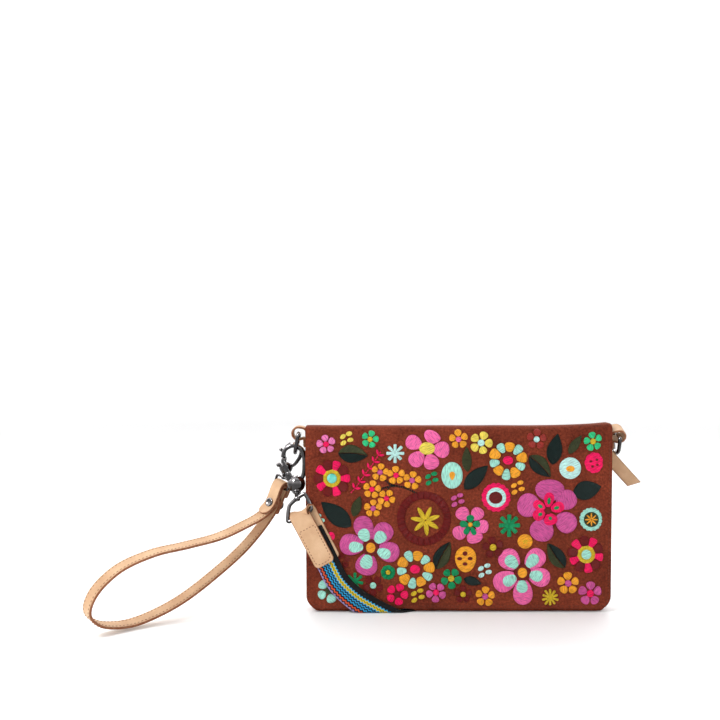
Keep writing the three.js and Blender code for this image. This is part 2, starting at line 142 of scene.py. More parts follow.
class Parts:
    """Vertices and faces of one object, gathered piece by piece, with what its material reads."""

    def __init__(self):
        self.verts, self.faces, self.uvs, self.edges, self.colours = [], [], [], [], []

    def add(self, verts, faces, uvs=None, edge=None, colour=(1, 1, 1)):
        start, n = len(self.verts), len(verts)
        self.verts += [tuple(map(float, v)) for v in verts]
        self.faces += [tuple(start + i for i in f) for f in faces]
        self.uvs += [tuple(map(float, u)) for u in uvs] if uvs is not None else [(0.0, 0.0)] * n
        self.edges += list(map(float, edge)) if edge is not None else [0.0] * n
        self.colours += [(*colour, 1.0)] * n

    def grid(self, rows, uvs=None, edge=None, colour=(1, 1, 1), wrap=False, caps=True):
        """Faces between rows of equally many points. wrap joins each row's ends."""
        m = len(rows[0])
        faces = []
        for i in range(len(rows) - 1):
            for j in range(m if wrap else m - 1):
                k = (j + 1) % m
                faces.append((i * m + j, i * m + k, (i + 1) * m + k, (i + 1) * m + j))
        if wrap and caps:
            last = (len(rows) - 1) * m
            faces += [tuple(range(m))[::-1], tuple(last + j for j in range(m))]
        flat = [v for row in rows for v in row]
        self.add(flat, faces, uvs, edge, colour)

    def build(self, name, material, merge=False, matrix=None):
        mesh = bpy.data.meshes.new(name)
        points = np.array(self.verts)
        if matrix is not None:
            full = np.c_[points, np.ones(len(points))] @ np.array(matrix).T
            points = full[:, :3]
        mesh.from_pydata((points * MM).tolist(), [], self.faces)
        corner = np.empty(len(mesh.loops), np.int32)
        mesh.loops.foreach_get("vertex_index", corner)
        layer = mesh.uv_layers.new(name="UVMap")
        layer.data.foreach_set("uv", np.array(self.uvs, np.float32)[corner].ravel())
        rest = mesh.attributes.new("rest", "FLOAT_VECTOR", "POINT")
        rest.data.foreach_set("vector", (points / 1000).astype(np.float32).ravel())
        edge = mesh.attributes.new("edge", "FLOAT", "POINT")
        edge.data.foreach_set("value", np.array(self.edges, np.float32))
        colour = mesh.color_attributes.new("Col", "FLOAT_COLOR", "POINT")
        colour.data.foreach_set("color", np.array(self.colours, np.float32).ravel())
        bm = bmesh.new()
        bm.from_mesh(mesh)
        if merge:
            bmesh.ops.remove_doubles(bm, verts=bm.verts, dist=2e-6)
        bmesh.ops.recalc_face_normals(bm, faces=bm.faces)
        bm.to_mesh(mesh)
        bm.free()
        mesh.shade_smooth()
        mesh.materials.append(material)
        obj = bpy.data.objects.new(name, mesh)
        scene.collection.objects.link(obj)
        return obj


def frames_along(p, closed=False):
    """A tangent and two square directions at each point, turning as little as they can."""
    t = tangents(p, closed)
    side = unit(np.cross(t[0], (0.3, 0.2, 1) if abs(t[0][2]) < 0.9 else (1, 0.2, 0.1)))
    sides = []
    for direction in t:
        side = unit(side - direction * side.dot(direction))
        sides.append(side)
    sides = np.array(sides)
    if closed:
        other = np.cross(t[0], sides[0])
        last = sides[-1] - t[0] * sides[-1].dot(t[0])
        slip = math.atan2(last.dot(other), last.dot(sides[0]))
        n = len(p)
        fixed = []
        for i in range(n):
            a = -slip * i / n
            fixed.append(math.cos(a) * sides[i] + math.sin(a) * np.cross(t[i], sides[i]))
        sides = np.array(fixed)
    return t, sides, np.cross(t, sides)


def tube(parts, points, radius, sides=20, spacing=1.0, closed=False, colour=(1, 1, 1)):
    """A round bar along the points. radius is a number, or a function of the share of the way along."""
    p = smooth_path(points, spacing, closed)
    if closed:
        p = p[:-1]
    _, a, b = frames_along(p, closed)
    size = radius if callable(radius) else (lambda u: radius)
    rows = []
    for i, c in enumerate(p):
        r = size(i / (len(p) - 1))
        angles = [2 * math.pi * j / sides for j in range(sides)]
        rows.append([c + r * (math.cos(w) * a[i] + math.sin(w) * b[i]) for w in angles])
    if closed:
        rows.append(rows[0])
        parts.grid(rows, wrap=True, caps=False, colour=colour)
    else:
        parts.grid(rows, wrap=True, colour=colour)


def lathe(parts, profile, matrix, sides=48):
    """A profile of (radius, height) turned about Z, then placed by the matrix."""
    rows = []
    for r, h in profile:
        ring = [(r * math.cos(2 * math.pi * j / sides), r * math.sin(2 * math.pi * j / sides), h) for j in range(sides)]
        rows.append([np.array(matrix @ Vector(v)) for v in ring])
    parts.grid(rows, wrap=True)


def slab(parts, outline, low, high, rounding, matrix=Matrix()):
    """An outline in x and z made solid along y, with its rims rounded over."""
    p = np.array(outline, float)
    middle = p.mean(0)
    size = np.linalg.norm(p - middle, axis=1).mean()
    levels = [(0, 1), (0.3, 0.3), (1, 0)]
    rows = []
    for depth, inset in levels:
        k = 1 - rounding * inset / size
        rows.append((low + rounding * depth, k))
    rows += [(high - rounding * depth, 1 - rounding * inset / size) for depth, inset in levels[::-1]]
    made = []
    for y, k in rows:
        made.append([np.array(matrix @ Vector((x, y, z))) for x, z in middle + (p - middle) * k])
    parts.grid(made, wrap=True)


def arc(cx, cz, r, start, end, steps=10):
    """Points on an arc, angles in degrees."""
    angles = np.radians(np.linspace(start, end, steps))
    return [(cx + r * math.cos(a), cz + r * math.sin(a)) for a in angles]


def aim(origin, z_axis, y_hint):
    z = unit(z_axis)
    x = unit(np.cross(y_hint, z))
    y = np.cross(z, x)
    m = Matrix([[x[i], y[i], z[i], origin[i]] for i in range(3)] + [[0, 0, 0, 1]])
    return m


def section(half, thick, flats=7):
    """Closed cross-section of a strip: (across, through, how near the cut edge)."""
    r = thick / 2
    inner = max(half - r, 0.01)
    points = [(a, r, 0) for a in np.linspace(-inner, inner, flats)]
    turn = np.radians([60, 30, 0, -30, -60])
    points += [(inner + r * math.cos(w), r * math.sin(w), 1) for w in turn]
    points += [(a, -r, 0) for a in np.linspace(inner, -inner, flats)]
    points += [(-inner - r * math.cos(w), r * math.sin(w), 1) for w in turn[::-1]]
    return points


def ribbon(parts, centres, wides, width, thick, corners=(0, 0), flats=7):
    """A strip with rounded cut edges. corners are the radii that its two ends are rounded to."""
    p = np.array(centres)
    t = tangents(p)
    run = np.concatenate([[0], np.cumsum(np.linalg.norm(np.diff(p, axis=0), axis=1))])
    rows, uvs, edge = [], [], []
    for i, c in enumerate(p):
        wide = np.asarray(wides[i] if len(np.shape(wides)) > 1 else wides, float)
        wide = unit(wide - t[i] * wide.dot(t[i]))
        out = np.cross(t[i], wide)
        half, deep = width / 2, thick
        for distance, r in ((run[i], corners[0]), (run[-1] - run[i], corners[1])):
            if r and distance < r:
                half -= r - math.sqrt(max(r * r - (r - distance) ** 2, 0))
            if distance < thick / 2:
                deep = min(deep, thick * (0.25 + 0.75 * math.sqrt(distance / (thick / 2))))
        cut = 1 if min(run[i], run[-1] - run[i]) < 0.3 else 0
        row = []
        for a, b, e in section(half, deep, flats):
            row.append(c + wide * a + out * b)
            uvs.append((run[i] / 10, a / width + 0.5))
            edge.append(max(e, cut))
        rows.append(row)
    parts.grid(rows, uvs, edge, wrap=True)


def end_spacing(length, step, corner):
    """Distances along a strip, close together at its two ends so that round corners come out round."""
    near = [corner * (1 - math.cos(math.radians(a))) for a in range(0, 91, 15)] if corner else [0]
    near = [0, 0.15, 0.4, 0.8] + near
    near = sorted(set(round(d, 3) for d in near))
    inner = list(np.arange(near[-1] + step, length - near[-1] - step / 2, step))
    return near + inner + [length - d for d in near[::-1]]


def at_distances(p, distances):
    gaps = np.linalg.norm(np.diff(p, axis=0), axis=1)
    run = np.concatenate([[0], np.cumsum(gaps)])
    return np.stack([np.interp(distances, run, p[:, i]) for i in range(3)], 1)


def spread(low, high, step, thick):
    """Grid lines from low to high, closer together at both ends."""
    near = [0, 0.12, 0.3, 0.6, 1.0, 2.2]
    near = [d * thick for d in near]
    inner = np.linspace(low + near[-1], high - near[-1], max(int((high - low) / step), 2))
    return [low + d for d in near[:-1]] + list(inner) + [high - d for d in near[:-1][::-1]]


def panel(parts, half, low, high, corner, thick, place, step=6.0, slot=None):
    """A soft sheet with rounded rims: place(x, s, lift) puts each point, and slot is (left, right, middle, height)."""
    columns = spread(-half, half, step, thick)
    lines = spread(low, high, step, thick)
    lines += [low + corner * (1 - math.cos(math.radians(a))) for a in range(8, 90, 9)]
    if slot:
        left, right, middle, height = slot
        near = [0, 0.2, 0.5, 1.0, 2.0]
        columns = [x for x in columns if abs(x - left) > 2.2 and abs(x - right) > 2.2]
        columns += [left - d for d in near] + [right + d for d in near]
        lines = [s for s in lines if abs(s - middle) > height / 2 + 2.2]
        lines += [middle + side * (height / 2 + d) for side in (1, -1) for d in near]
        lines += [middle + k * height / 2 for k in (-0.97, -0.86, -0.6, -0.3, 0, 0.3, 0.6, 0.86, 0.97)]
    columns, lines = sorted(set(columns)), sorted(set(lines))

    def rim_distance(x, s):
        d = min(half - abs(x), s - low, high - s)
        dx, ds = abs(x) - (half - corner), (low + corner) - s
        if dx > 0 and ds > 0:
            d = min(d, corner - math.hypot(dx, ds))
        if slot:
            cx = (left + right) / 2
            r = height / 2 if x < cx else 2
            qx, qs = abs(x - cx) - (right - left) / 2 + r, abs(s - middle) - height / 2 + r
            d = min(d, math.hypot(max(qx, 0), max(qs, 0)) - r + min(max(qx, qs), 0))
        return max(d, 0)

    def column_at(x, s):
        if s < low + corner:
            reach = half - corner + math.sqrt(max(corner ** 2 - (low + corner - s) ** 2, 0))
            x = x * reach / half
        if slot:
            ds = abs(s - middle)
            for end, r, sign in ((left, height / 2, 1), (right, 2, -1)):
                off = ds - (height / 2 - r)
                shift = 0 if off < 0 else r - math.sqrt(r * r - off * off) if off < r else r * max(0, 1 - (off - r) / 6)
                x += sign * shift * max(0, 1 - abs(x - end) / 12)
        return x

    def keep(x0, x1, s0, s1):
        if not slot:
            return True
        mid_x, mid_s = (x0 + x1) / 2, (s0 + s1) / 2
        return not (left < mid_x < right and abs(mid_s - middle) < height / 2)

    for side in (1, -1):
        verts, uvs, edge = [], [], []
        for s in lines:
            for x in columns:
                px = column_at(x, s)
                d = min(rim_distance(px, s) / (thick * 0.6), 1)
                verts.append(place(px, s, side * thick / 2 * math.sqrt(1 - (1 - d) ** 2)))
                uvs.append((px / 10, s / 10))
                edge.append(1 - d)
        m = len(columns)
        faces = []
        for i in range(len(lines) - 1):
            for j in range(m - 1):
                if keep(columns[j], columns[j + 1], lines[i], lines[i + 1]):
                    faces.append((i * m + j, i * m + j + 1, (i + 1) * m + j + 1, (i + 1) * m + j))
        parts.add(verts, faces, uvs, edge)


def stitches(parts, points, normals, length=2.3, gap=1.1, radius=0.3, colour=(1, 1, 1)):
    """A row of thread stitches along the points, each one sinking in at its ends."""
    p = np.array(points, float)
    dense = resample(p, 0.4)
    total = path_length(dense)
    count = max(int(round(total / (length + gap))), 1)
    pitch = total / count
    run = np.linspace(0, total, len(dense))
    n = np.array(normals, float)
    for k in range(count):
        ends = []
        for s in (k * pitch + gap / 2, (k + 1) * pitch - gap / 2):
            ends.append(np.array([np.interp(s, run, dense[:, i]) for i in range(3)]))
        up = unit(n if n.ndim == 1 else n[min(int(len(n) * (k + 0.5) / count), len(n) - 1)])
        along = ends[1] - ends[0]
        side = unit(np.cross(along, up))
        rows = []
        for u, size, lift in ((0, 0.35, -0.5), (0.12, 0.85, 0.15), (0.5, 1, 0.45), (0.88, 0.85, 0.15), (1, 0.35, -0.5)):
            c = ends[0] + along * u + up * lift * radius
            rows.append([c + radius * size * (math.cos(w) * side + math.sin(w) * up * 0.8)
                         for w in np.radians(range(0, 360, 60))])
        parts.grid(rows, wrap=True, colour=colour)


# ---- materials --------------------------------------------------------------------

def linear(r, g, b):
    return tuple(((c / 255 + 0.055) / 1.055) ** 2.4 if c > 10 else c / 255 / 12.92 for c in (r, g, b))


def node(tree, kind, inputs=None, **settings):
    made = tree.nodes.new("ShaderNode" + kind)
    for key, value in settings.items():
        setattr(made, key, value)
    for key, value in (inputs or {}).items():
        if isinstance(value, bpy.types.NodeSocket):
            tree.links.new(value, made.inputs[key])
        else:
            made.inputs[key].default_value = value
    return made


def ramp(tree, factor, stops, mode="LINEAR"):
    made = node(tree, "ValToRGB", {"Fac": factor})
    made.color_ramp.interpolation = mode
    elements = made.color_ramp.elements
    while len(elements) < len(stops):
        elements.new(0.5)
    for element, (position, colour) in zip(elements, stops):
        element.position = position
        element.color = (*colour, 1)
    return made.outputs["Color"]


def mix(tree, factor, a, b, blend="MIX"):
    made = tree.nodes.new("ShaderNodeMix")
    made.data_type = "RGBA"
    made.blend_type = blend
    for socket, value in ((made.inputs[0], factor), (made.inputs[6], a), (made.inputs[7], b)):
        if isinstance(value, bpy.types.NodeSocket):
            tree.links.new(value, socket)
        elif isinstance(value, tuple):
            socket.default_value = (*value, 1) if len(value) == 3 else value
        else:
            socket.default_value = value
    return made.outputs[2]


def maths(tree, operation, a, b=0.0):
    made = tree.nodes.new("ShaderNodeMath")
    made.operation = operation
    for socket, value in zip(made.inputs, (a, b)):
        if isinstance(value, bpy.types.NodeSocket):
            tree.links.new(value, socket)
        else:
            socket.default_value = value
    return made.outputs[0]


def new_material(name, **constants):
    """A material with a Principled shader, whose plain values are set directly."""
    material = bpy.data.materials.new(name)
    material.use_nodes = True
    tree = material.node_tree
    shader = tree.nodes["Principled BSDF"]
    for key, value in constants.items():
        shader.inputs[key.replace("_", " ")].default_value = value
    return material, tree, shader


def grain(tree, scale, detail=3.0, rough=0.55, vector=None):
    """Noise in the piece's own rest space, scale in features per millimetre."""
    if vector is None:
        vector = node(tree, "Attribute", attribute_name="rest").outputs["Vector"]
    inputs = {"Vector": vector, "Scale": scale * 1000, "Detail": detail, "Roughness": rough}
    return node(tree, "TexNoise", inputs).outputs["Fac"]


def bump(tree, shader, height, strength, distance):
    made = node(tree, "Bump", {"Height": height, "Strength": strength, "Distance": distance * MM})
    tree.links.new(made.outputs["Normal"], shader.inputs["Normal"])


def suede(name, light, dark):
    material, tree, shader = new_material(
        name, Roughness=0.95, Sheen_Weight=0.12, Sheen_Roughness=0.5, Specular_IOR_Level=0.1)
    shader.inputs["Sheen Tint"].default_value = (*linear(215, 150, 120), 1)
    patches = ramp(tree, grain(tree, 0.03, 4.0, 0.6), [(0.32, dark), (0.68, light)])
    fibre = grain(tree, 0.5, 5.0, 0.8)
    speckle = ramp(tree, fibre, [(0.36, (0.4, 0.36, 0.34)), (0.5, (0.95, 0.95, 0.95)), (0.64, (1.75, 1.65, 1.6))])
    colour = mix(tree, 0.8, patches, speckle, "MULTIPLY")
    edge = node(tree, "Attribute", attribute_name="edge").outputs["Fac"]
    colour = mix(tree, maths(tree, "MULTIPLY", edge, 0.5), colour, linear(70, 32, 23))
    tree.links.new(colour, shader.inputs["Base Color"])
    nap = maths(tree, "ADD", maths(tree, "MULTIPLY", fibre, 0.8), grain(tree, 0.2, 3.0))
    bump(tree, shader, nap, 0.8, 0.7)
    return material


def natural_leather():
    material, tree, shader = new_material("natural_leather", Specular_IOR_Level=0.3)
    patches = ramp(tree, grain(tree, 0.06, 4.0), [(0.3, linear(190, 148, 112)), (0.7, linear(212, 176, 140))])
    cells = node(tree, "TexVoronoi", {
        "Vector": node(tree, "Attribute", attribute_name="rest").outputs["Vector"], "Scale": 1500})
    pores = ramp(tree, cells.outputs["Distance"], [(0.0, (0.86, 0.83, 0.8)), (0.35, (1, 1, 1))])
    colour = mix(tree, 0.6, patches, pores, "MULTIPLY")
    edge = node(tree, "Attribute", attribute_name="edge").outputs["Fac"]
    worn = maths(tree, "MULTIPLY", edge, maths(tree, "ADD", grain(tree, 0.4), 0.45))
    colour = mix(tree, worn, colour, linear(128, 74, 44))
    shade = node(tree, "Attribute", attribute_name="Col").outputs["Color"]
    colour = mix(tree, 1.0, colour, shade, "MULTIPLY")
    tree.links.new(colour, shader.inputs["Base Color"])
    rough = node(tree, "MapRange", {"Value": grain(tree, 0.5), "To Min": 0.5, "To Max": 0.72}).outputs["Result"]
    tree.links.new(rough, shader.inputs["Roughness"])
    height = maths(tree, "ADD", cells.outputs["Distance"], grain(tree, 0.25, 5.0))
    bump(tree, shader, height, 0.45, 0.3)
    return material


def metal(name, colour, roughness):
    """Polished plating with painted reflections: darker where it faces down and lighter where it faces up, in place of
    a dark surround and bright light mirrored in it; with faint wear.
    """
    material, tree, shader = new_material(name, Metallic=1.0)
    facing = node(tree, "SeparateXYZ", {"Vector": node(tree, "TexCoord").outputs["Normal"]}).outputs["Z"]
    share = node(tree, "MapRange", {"Value": facing, "From Min": -1.0, "From Max": 1.0}).outputs["Result"]
    dark, mid = tuple(0.1 * c for c in colour), tuple(0.35 * c for c in colour)
    # painted reflection: the plating's colour runs from a tenth on down-facing sides to full on up-facing ones
    painted_reflection = ramp(tree, share, [(0.5, dark), (0.66, mid), (0.8, colour)])
    worn = ramp(tree, grain(tree, 0.12, 3.0), [(0.35, (0.85, 0.85, 0.85)), (0.65, (1, 1, 1))])
    tree.links.new(mix(tree, 1.0, painted_reflection, worn, "MULTIPLY"), shader.inputs["Base Color"])
    smear = ramp(tree, grain(tree, 0.3, 3.0), [(0.3, (roughness * 0.7,) * 3), (0.7, (roughness * 1.5,) * 3)])
    tree.links.new(smear, shader.inputs["Roughness"])
    return material


def embroidery_thread():
    material, tree, shader = new_material(
        "embroidery_thread", Roughness=0.45, Specular_IOR_Level=0.2)
    uv = node(tree, "UVMap", uv_map="UVMap").outputs["UV"]
    wobble = node(tree, "TexNoise", {"Vector": uv, "Scale": 0.9, "Detail": 2.0}).outputs["Color"]
    bent = mix(tree, 0.12, uv, wobble, "ADD")
    threads = node(tree, "TexWave", {"Vector": bent, "Scale": 0.72, "Distortion": 0.8, "Detail": 2.0,
                                     "Detail Scale": 1.2}).outputs["Fac"]
    long_way = node(tree, "Mapping", {"Vector": bent, "Scale": (1.1, 0.14, 1)}).outputs["Vector"]
    strands = node(tree, "TexNoise", {"Vector": long_way, "Scale": 1.3, "Detail": 4.0}).outputs["Fac"]
    colour = node(tree, "Attribute", attribute_name="Col").outputs["Color"]
    shade = ramp(tree, strands, [(0.32, (0.5, 0.47, 0.47)), (0.5, (0.96, 0.96, 0.96)), (0.68, (1.3, 1.28, 1.28))])
    colour = mix(tree, 0.8, colour, shade, "MULTIPLY")
    # painted shade: the thread colour darkens in the grooves between stitches, where the bump dips
    gaps = ramp(tree, threads, [(0.0, (0.5, 0.48, 0.48)), (0.45, (1, 1, 1))])
    colour = mix(tree, 0.7, colour, gaps, "MULTIPLY")
    tree.links.new(colour, shader.inputs["Base Color"])
    height = maths(tree, "ADD", threads, maths(tree, "MULTIPLY", strands, 3.0))
    bump(tree, shader, height, 0.8, 0.3)
    return material


def webbing_material():
    """Woven stripes: the second UV runs across the strap, the first along it in centimetres."""
    material, tree, shader = new_material(
        "webbing", Roughness=0.75, Specular_IOR_Level=0.25)
    split = node(tree, "SeparateXYZ", {"Vector": node(tree, "UVMap", uv_map="UVMap").outputs["UV"]})
    along, across = split.outputs["X"], split.outputs["Y"]
    zig = maths(tree, "PINGPONG", maths(tree, "MULTIPLY", along, 3.2), 0.5)
    shifted = maths(tree, "ADD", across, maths(tree, "MULTIPLY", maths(tree, "SUBTRACT", zig, 0.25), 0.13))
    black, navy = linear(14, 13, 15), linear(18, 17, 36)
    blue, yellow = linear(40, 165, 220), linear(222, 196, 18)
    red, lavender = linear(226, 84, 44), linear(158, 140, 190)
    stops = [(0.0, lavender), (0.055, navy), (0.12, red), (0.185, navy), (0.265, blue), (0.32, black), (0.385, blue),
             (0.435, navy), (0.5, blue), (0.55, yellow), (0.69, blue), (0.745, black)]
    stripes = ramp(tree, shifted, stops, "CONSTANT")
    phase = maths(tree, "ADD", maths(tree, "MULTIPLY", along, 20.1), maths(tree, "MULTIPLY", across, 80))
    ticks = maths(tree, "SINE", phase)
    in_yellow = maths(tree, "COMPARE", across, 0.62)
    tree.nodes[-1].inputs[2].default_value = 0.035
    dashes = maths(tree, "MULTIPLY", maths(tree, "GREATER_THAN", ticks, 0.35), in_yellow)
    colour = mix(tree, dashes, stripes, linear(50, 45, 30))
    twill = maths(tree, "ADD", maths(tree, "MULTIPLY", along, 60), maths(tree, "MULTIPLY", across, 60))
    ribs = maths(tree, "SINE", twill)
    cords = maths(tree, "SINE", maths(tree, "MULTIPLY", across, 170))
    weave = maths(tree, "ADD", ribs, maths(tree, "MULTIPLY", cords, 0.8))
    fuzz = grain(tree, 1.6, 3.0)
    shade = ramp(tree, fuzz, [(0.3, (0.7, 0.7, 0.7)), (0.7, (1.25, 1.25, 1.25))])
    colour = mix(tree, 0.5, colour, shade, "MULTIPLY")
    tree.links.new(colour, shader.inputs["Base Color"])
    bump(tree, shader, maths(tree, "ADD", weave, fuzz), 0.7, 0.3)
    return material


def woven(name, light, dark, count):
    """Plain weave in the piece's UV, count threads per millimetre."""
    material, tree, shader = new_material(name, Roughness=0.85, Sheen_Weight=0.15, Specular_IOR_Level=0.2)
    split = node(tree, "SeparateXYZ", {"Vector": node(tree, "UVMap", uv_map="UVMap").outputs["UV"]})
    rate = count * 10 * math.pi
    warp = maths(tree, "SINE", maths(tree, "MULTIPLY", split.outputs["X"], rate))
    weft = maths(tree, "SINE", maths(tree, "MULTIPLY", split.outputs["Y"], rate))
    cloth = maths(tree, "MULTIPLY", warp, weft)
    level = node(tree, "MapRange", {"Value": cloth, "From Min": -1.0, "From Max": 1.0}).outputs["Result"]
    patches = maths(tree, "ADD", maths(tree, "MULTIPLY", grain(tree, 0.05), 0.8), maths(tree, "MULTIPLY", level, 0.35))
    tree.links.new(ramp(tree, patches, [(0.3, dark), (0.85, light)]), shader.inputs["Base Color"])
    bump(tree, shader, maths(tree, "ADD", level, grain(tree, 1.2)), 0.4, 0.15)
    return material


def sewing_thread(name, colour):
    material, tree, shader = new_material(name, Roughness=0.6, Specular_IOR_Level=0.4)
    twist = grain(tree, 1.8, 2.0)
    tones = [(0.3, tuple(c * 0.7 for c in colour)), (0.6, colour)]
    tree.links.new(ramp(tree, twist, tones), shader.inputs["Base Color"])
    bump(tree, shader, twist, 0.4, 0.1)
    return material


def glass_bead():
    material, tree, shader = new_material("glass_bead", Roughness=0.12, Specular_IOR_Level=0.6, Coat_Weight=0.6)
    tree.links.new(ramp(tree, grain(tree, 0.25, 3.0), [(0.3, linear(50, 165, 150)), (0.7, linear(110, 210, 195))]),
                   shader.inputs["Base Color"])
    return material


SUEDE = suede("suede", linear(120, 53, 35), linear(93, 38, 25))
SUEDE_BACK = suede("suede_back", linear(114, 50, 34), linear(90, 37, 25))
NATURAL = natural_leather()
METAL = metal("dark_metal", linear(190, 186, 187), 0.08)
TEETH = metal("zip_metal", linear(168, 138, 98), 0.3)
THREAD = embroidery_thread()
WEBBING = webbing_material()
LINING = woven("lining_cloth", linear(92, 58, 44), linear(58, 34, 26), 1.6)
TAPE = woven("zip_tape", linear(74, 50, 40), linear(40, 26, 20), 2.2)
CREAM = sewing_thread("cream_thread", linear(214, 178, 132))
TAN = sewing_thread("tan_thread", linear(140, 98, 66))
BROWN = sewing_thread("brown_thread", linear(96, 46, 32))
BEAD = glass_bead()


def finish_piece(obj, body, slot=None, replaces=()):
    if body:
        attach(obj, body)
    if replaces:
        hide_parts(*replaces)
    return obj


# ---- strap ------------------------------------------------------------------------

WEB_WIDTH, WEB_THICK = 20, 1.6
WEB_Y, WEB_FLOOR, WEB_BEND = -15.3, 0.95, 2.2
TAB_LENGTH, TAB_WIDTH, TAB_THICK = 47, 18.5, 1.6
TAB_DOWN = np.array([0.461, 0, -0.887])
TAB_ACROSS = np.array([0.887, 0, 0.461])
TAB_TOP = np.array([4.4, -11.3, -26.1])
FRONT_BALL = np.array([-141.6, -4, 110])

# Front run as x and unrolled height, before it bends under the case
STRAP_PLAN = [(-128, 71.7), (-120.7, 57.6), (-113.5, 43), (-104.5, 26.5), (-90.6, 13),
              (-75, 3.5), (-58, -5), (-43, -13), (-30.5, -21), (-25, -30)]
FOLD_LEFT, FOLD_RIGHT = -104, 104


def strap_front_rows():
    """Rows of cross-section points, and the centre line, of the part in front and under the case."""
    plan = smooth_path([(x, 0, z) for x, z in STRAP_PLAN], 1.6)
    t = tangents(plan)
    low = WEB_FLOOR + WEB_BEND
    rows, middle = [], []

    def bend(x, z, through):
        turn = min(max((low - z) / WEB_BEND, 0), math.pi / 2)
        back = max(low - WEB_BEND * math.pi / 2 - z, 0)
        y = WEB_Y + WEB_BEND - (WEB_BEND + through) * math.cos(turn) + back
        return np.array([x, y, max(z, low) - (WEB_BEND + through) * math.sin(turn)])

    for c, d in zip(plan, t):
        rows.append([bend(c[0] - a * d[2], c[2] + a * d[0], b) for a, b, _ in section(WEB_WIDTH / 2, WEB_THICK, 15)])
        middle.append(bend(c[0], c[2], 0))
    return rows, middle


def hank_points():
    """Centre line of the folded length: on its edge, in runs side by side."""
    points = [(-22.3, 19.5), (-18, 28), (-12, 41), (-4, 51), (8, 56.5), (30, 57.5)]
    y, side = 57.5, 1
    for _ in range(4):
        end = FOLD_RIGHT if side > 0 else FOLD_LEFT
        points += [(end - side * 40, y), (end - side * 5, y)]
        points += [(end - side * 0.6, y + 1.3), (end + side * 1.2, y + 4.75), (end - side * 0.6, y + 8.2)]
        y += 9.5
        side = -side
        points += [(end + side * 5, y), (end + side * 40, y)]
    points += [(0, y), (60, y), (95, y)]
    return points


def strap_path():
    rows, front = strap_front_rows()
    flat = [(x, y, 0) for x, y in hank_points()]
    tail = [(112, 96.5, 0), (121, 100, 0), (125.5, 110, 0), (122, 122, 0), (110, 128, 0), (80, 128, 0),
            (50, 128, 0), (22, 128, 2.2), (4, 128, 3.8), (-14, 128, 3.8), (-36, 128, 3.8)]
    rest = smooth_path([*flat, *tail], 2.4)
    run = np.concatenate([[0], np.cumsum(np.linalg.norm(np.diff(rest, axis=0), axis=1))])
    total = run[-1]
    t = tangents(rest)
    start_wide, edge_wide, end_wide = np.array([1, -0.4, 0.02]), np.array([0, 0, 1.0]), np.array([0, -1.0, 0])
    centres, wides = [], []
    for i, c in enumerate(rest):
        rise = smoothstep(run[i], 2, 40)
        settle = smoothstep(total - run[i], 172, 84)
        wide = start_wide * (1 - rise) + edge_wide * rise
        wide = wide * (1 - settle) + end_wide * settle
        wide = unit(wide - t[i] * wide.dot(t[i]))
        out = np.cross(t[i], wide)
        stand = 0.15 + WEB_WIDTH / 2 * abs(wide[2]) + 0.8 * abs(out[2])
        lift = 0.45 * smoothstep(run[i], 40, 70) * smoothstep(total - run[i], 150, 200)
        centres.append(np.array([c[0], c[1], max(c[2], stand + lift)]))
        wides.append(wide)
    return rows, front, centres, wides


def make_strap():
    rows, front, centres, wides = strap_path()
    p = np.array(centres)
    t = tangents(p)
    profile = section(WEB_WIDTH / 2, WEB_THICK, 15)
    for i in range(1, len(p)):
        wide = unit(wides[i] - t[i] * wides[i].dot(t[i]))
        out = np.cross(t[i], wide)
        rows.append([p[i] + wide * a + out * b for a, b, _ in profile])
    middle = resample(np.array([*front, *centres[1:]]), 2.0)
    line = np.array([*front, *centres[1:]])
    run = np.concatenate([[0], np.cumsum(np.linalg.norm(np.diff(line, axis=0), axis=1))])
    uvs = [(run[i] / 10, a / WEB_WIDTH + 0.5) for i in range(len(rows)) for a, _, _ in profile]
    parts = Parts()
    parts.grid(rows, uvs, wrap=True)
    strap = parts.build("strap", WEBBING)
    finish_piece(strap, "wallet", "webbing", ("strap_front", "strap_link", "strap_hank", "strap_tail"))
    return strap, middle, path_length(middle)


def make_tie():
    """Elastic band that holds the folded strap together."""
    low, high, y0, y1 = 0.35, WEB_WIDTH + 1.1, 56.2, 96.8
    middle = (y0 + y1) / 2
    loop = [(y0 + 2, low), (middle, low), (y1 - 2, low), (y1 - 0.2, low + 2), (y1 + 0.2, 11),
            (y1 - 0.2, high - 2), (y1 - 2, high), (middle, high + 0.1), (y0 + 2, high),
            (y0 + 0.2, high - 2), (y0 - 0.2, 11), (y0 + 0.2, low + 2)]
    p = smooth_path([(14, y, z) for y, z in loop], 1.0, closed=True)
    parts = Parts()
    ribbon(parts, np.array([*p, p[1]]), (1, 0, 0), 7, 0.5)
    return finish_piece(parts.build("strap_tie", TAPE), "wallet", "webbing")


strap, strap_line, strap_length = make_strap()
strap_tie = make_tie()


# ---- flap -------------------------------------------------------------------------

HALF, FLAP_LOW, CORNER = 133.5, 3, 11
FACE_Y, BACK_Y, TOP_Z = -12.0, 12.0, 160.0
FOLD = 6.0
FOLD_START = TOP_Z - FOLD
TOP_START = FOLD_START + FOLD * math.pi / 2
BACK_ROLL = 2.2
FLAP_BACK = TOP_START + (BACK_Y - BACK_ROLL - (FACE_Y + FOLD))


def soft_wave(x, s):
    """How far the suede stands out, in a few long soft waves."""
    wave = noise.noise(Vector((x / 48, s / 36, 3.1))) + 0.5 * noise.noise(Vector((x / 21, s / 25, 7.7)))
    return 0.22 + 0.3 * wave


def taper(x, z):
    """The sides lean in a little towards the base, the right one more."""
    low = 1 - min(z / TOP_Z, 1)
    return x - (1.0 + 1.8 * low) * smoothstep(x, 118, 133) + 1.3 * low * smoothstep(-x, 118, 133)


def corner_lift(x, s):
    """The flap's top right corner stands a little proud."""
    return 2.6 * (max(x - 62, 0) / 70) ** 2.2 * smoothstep(s, 110, FOLD_START)


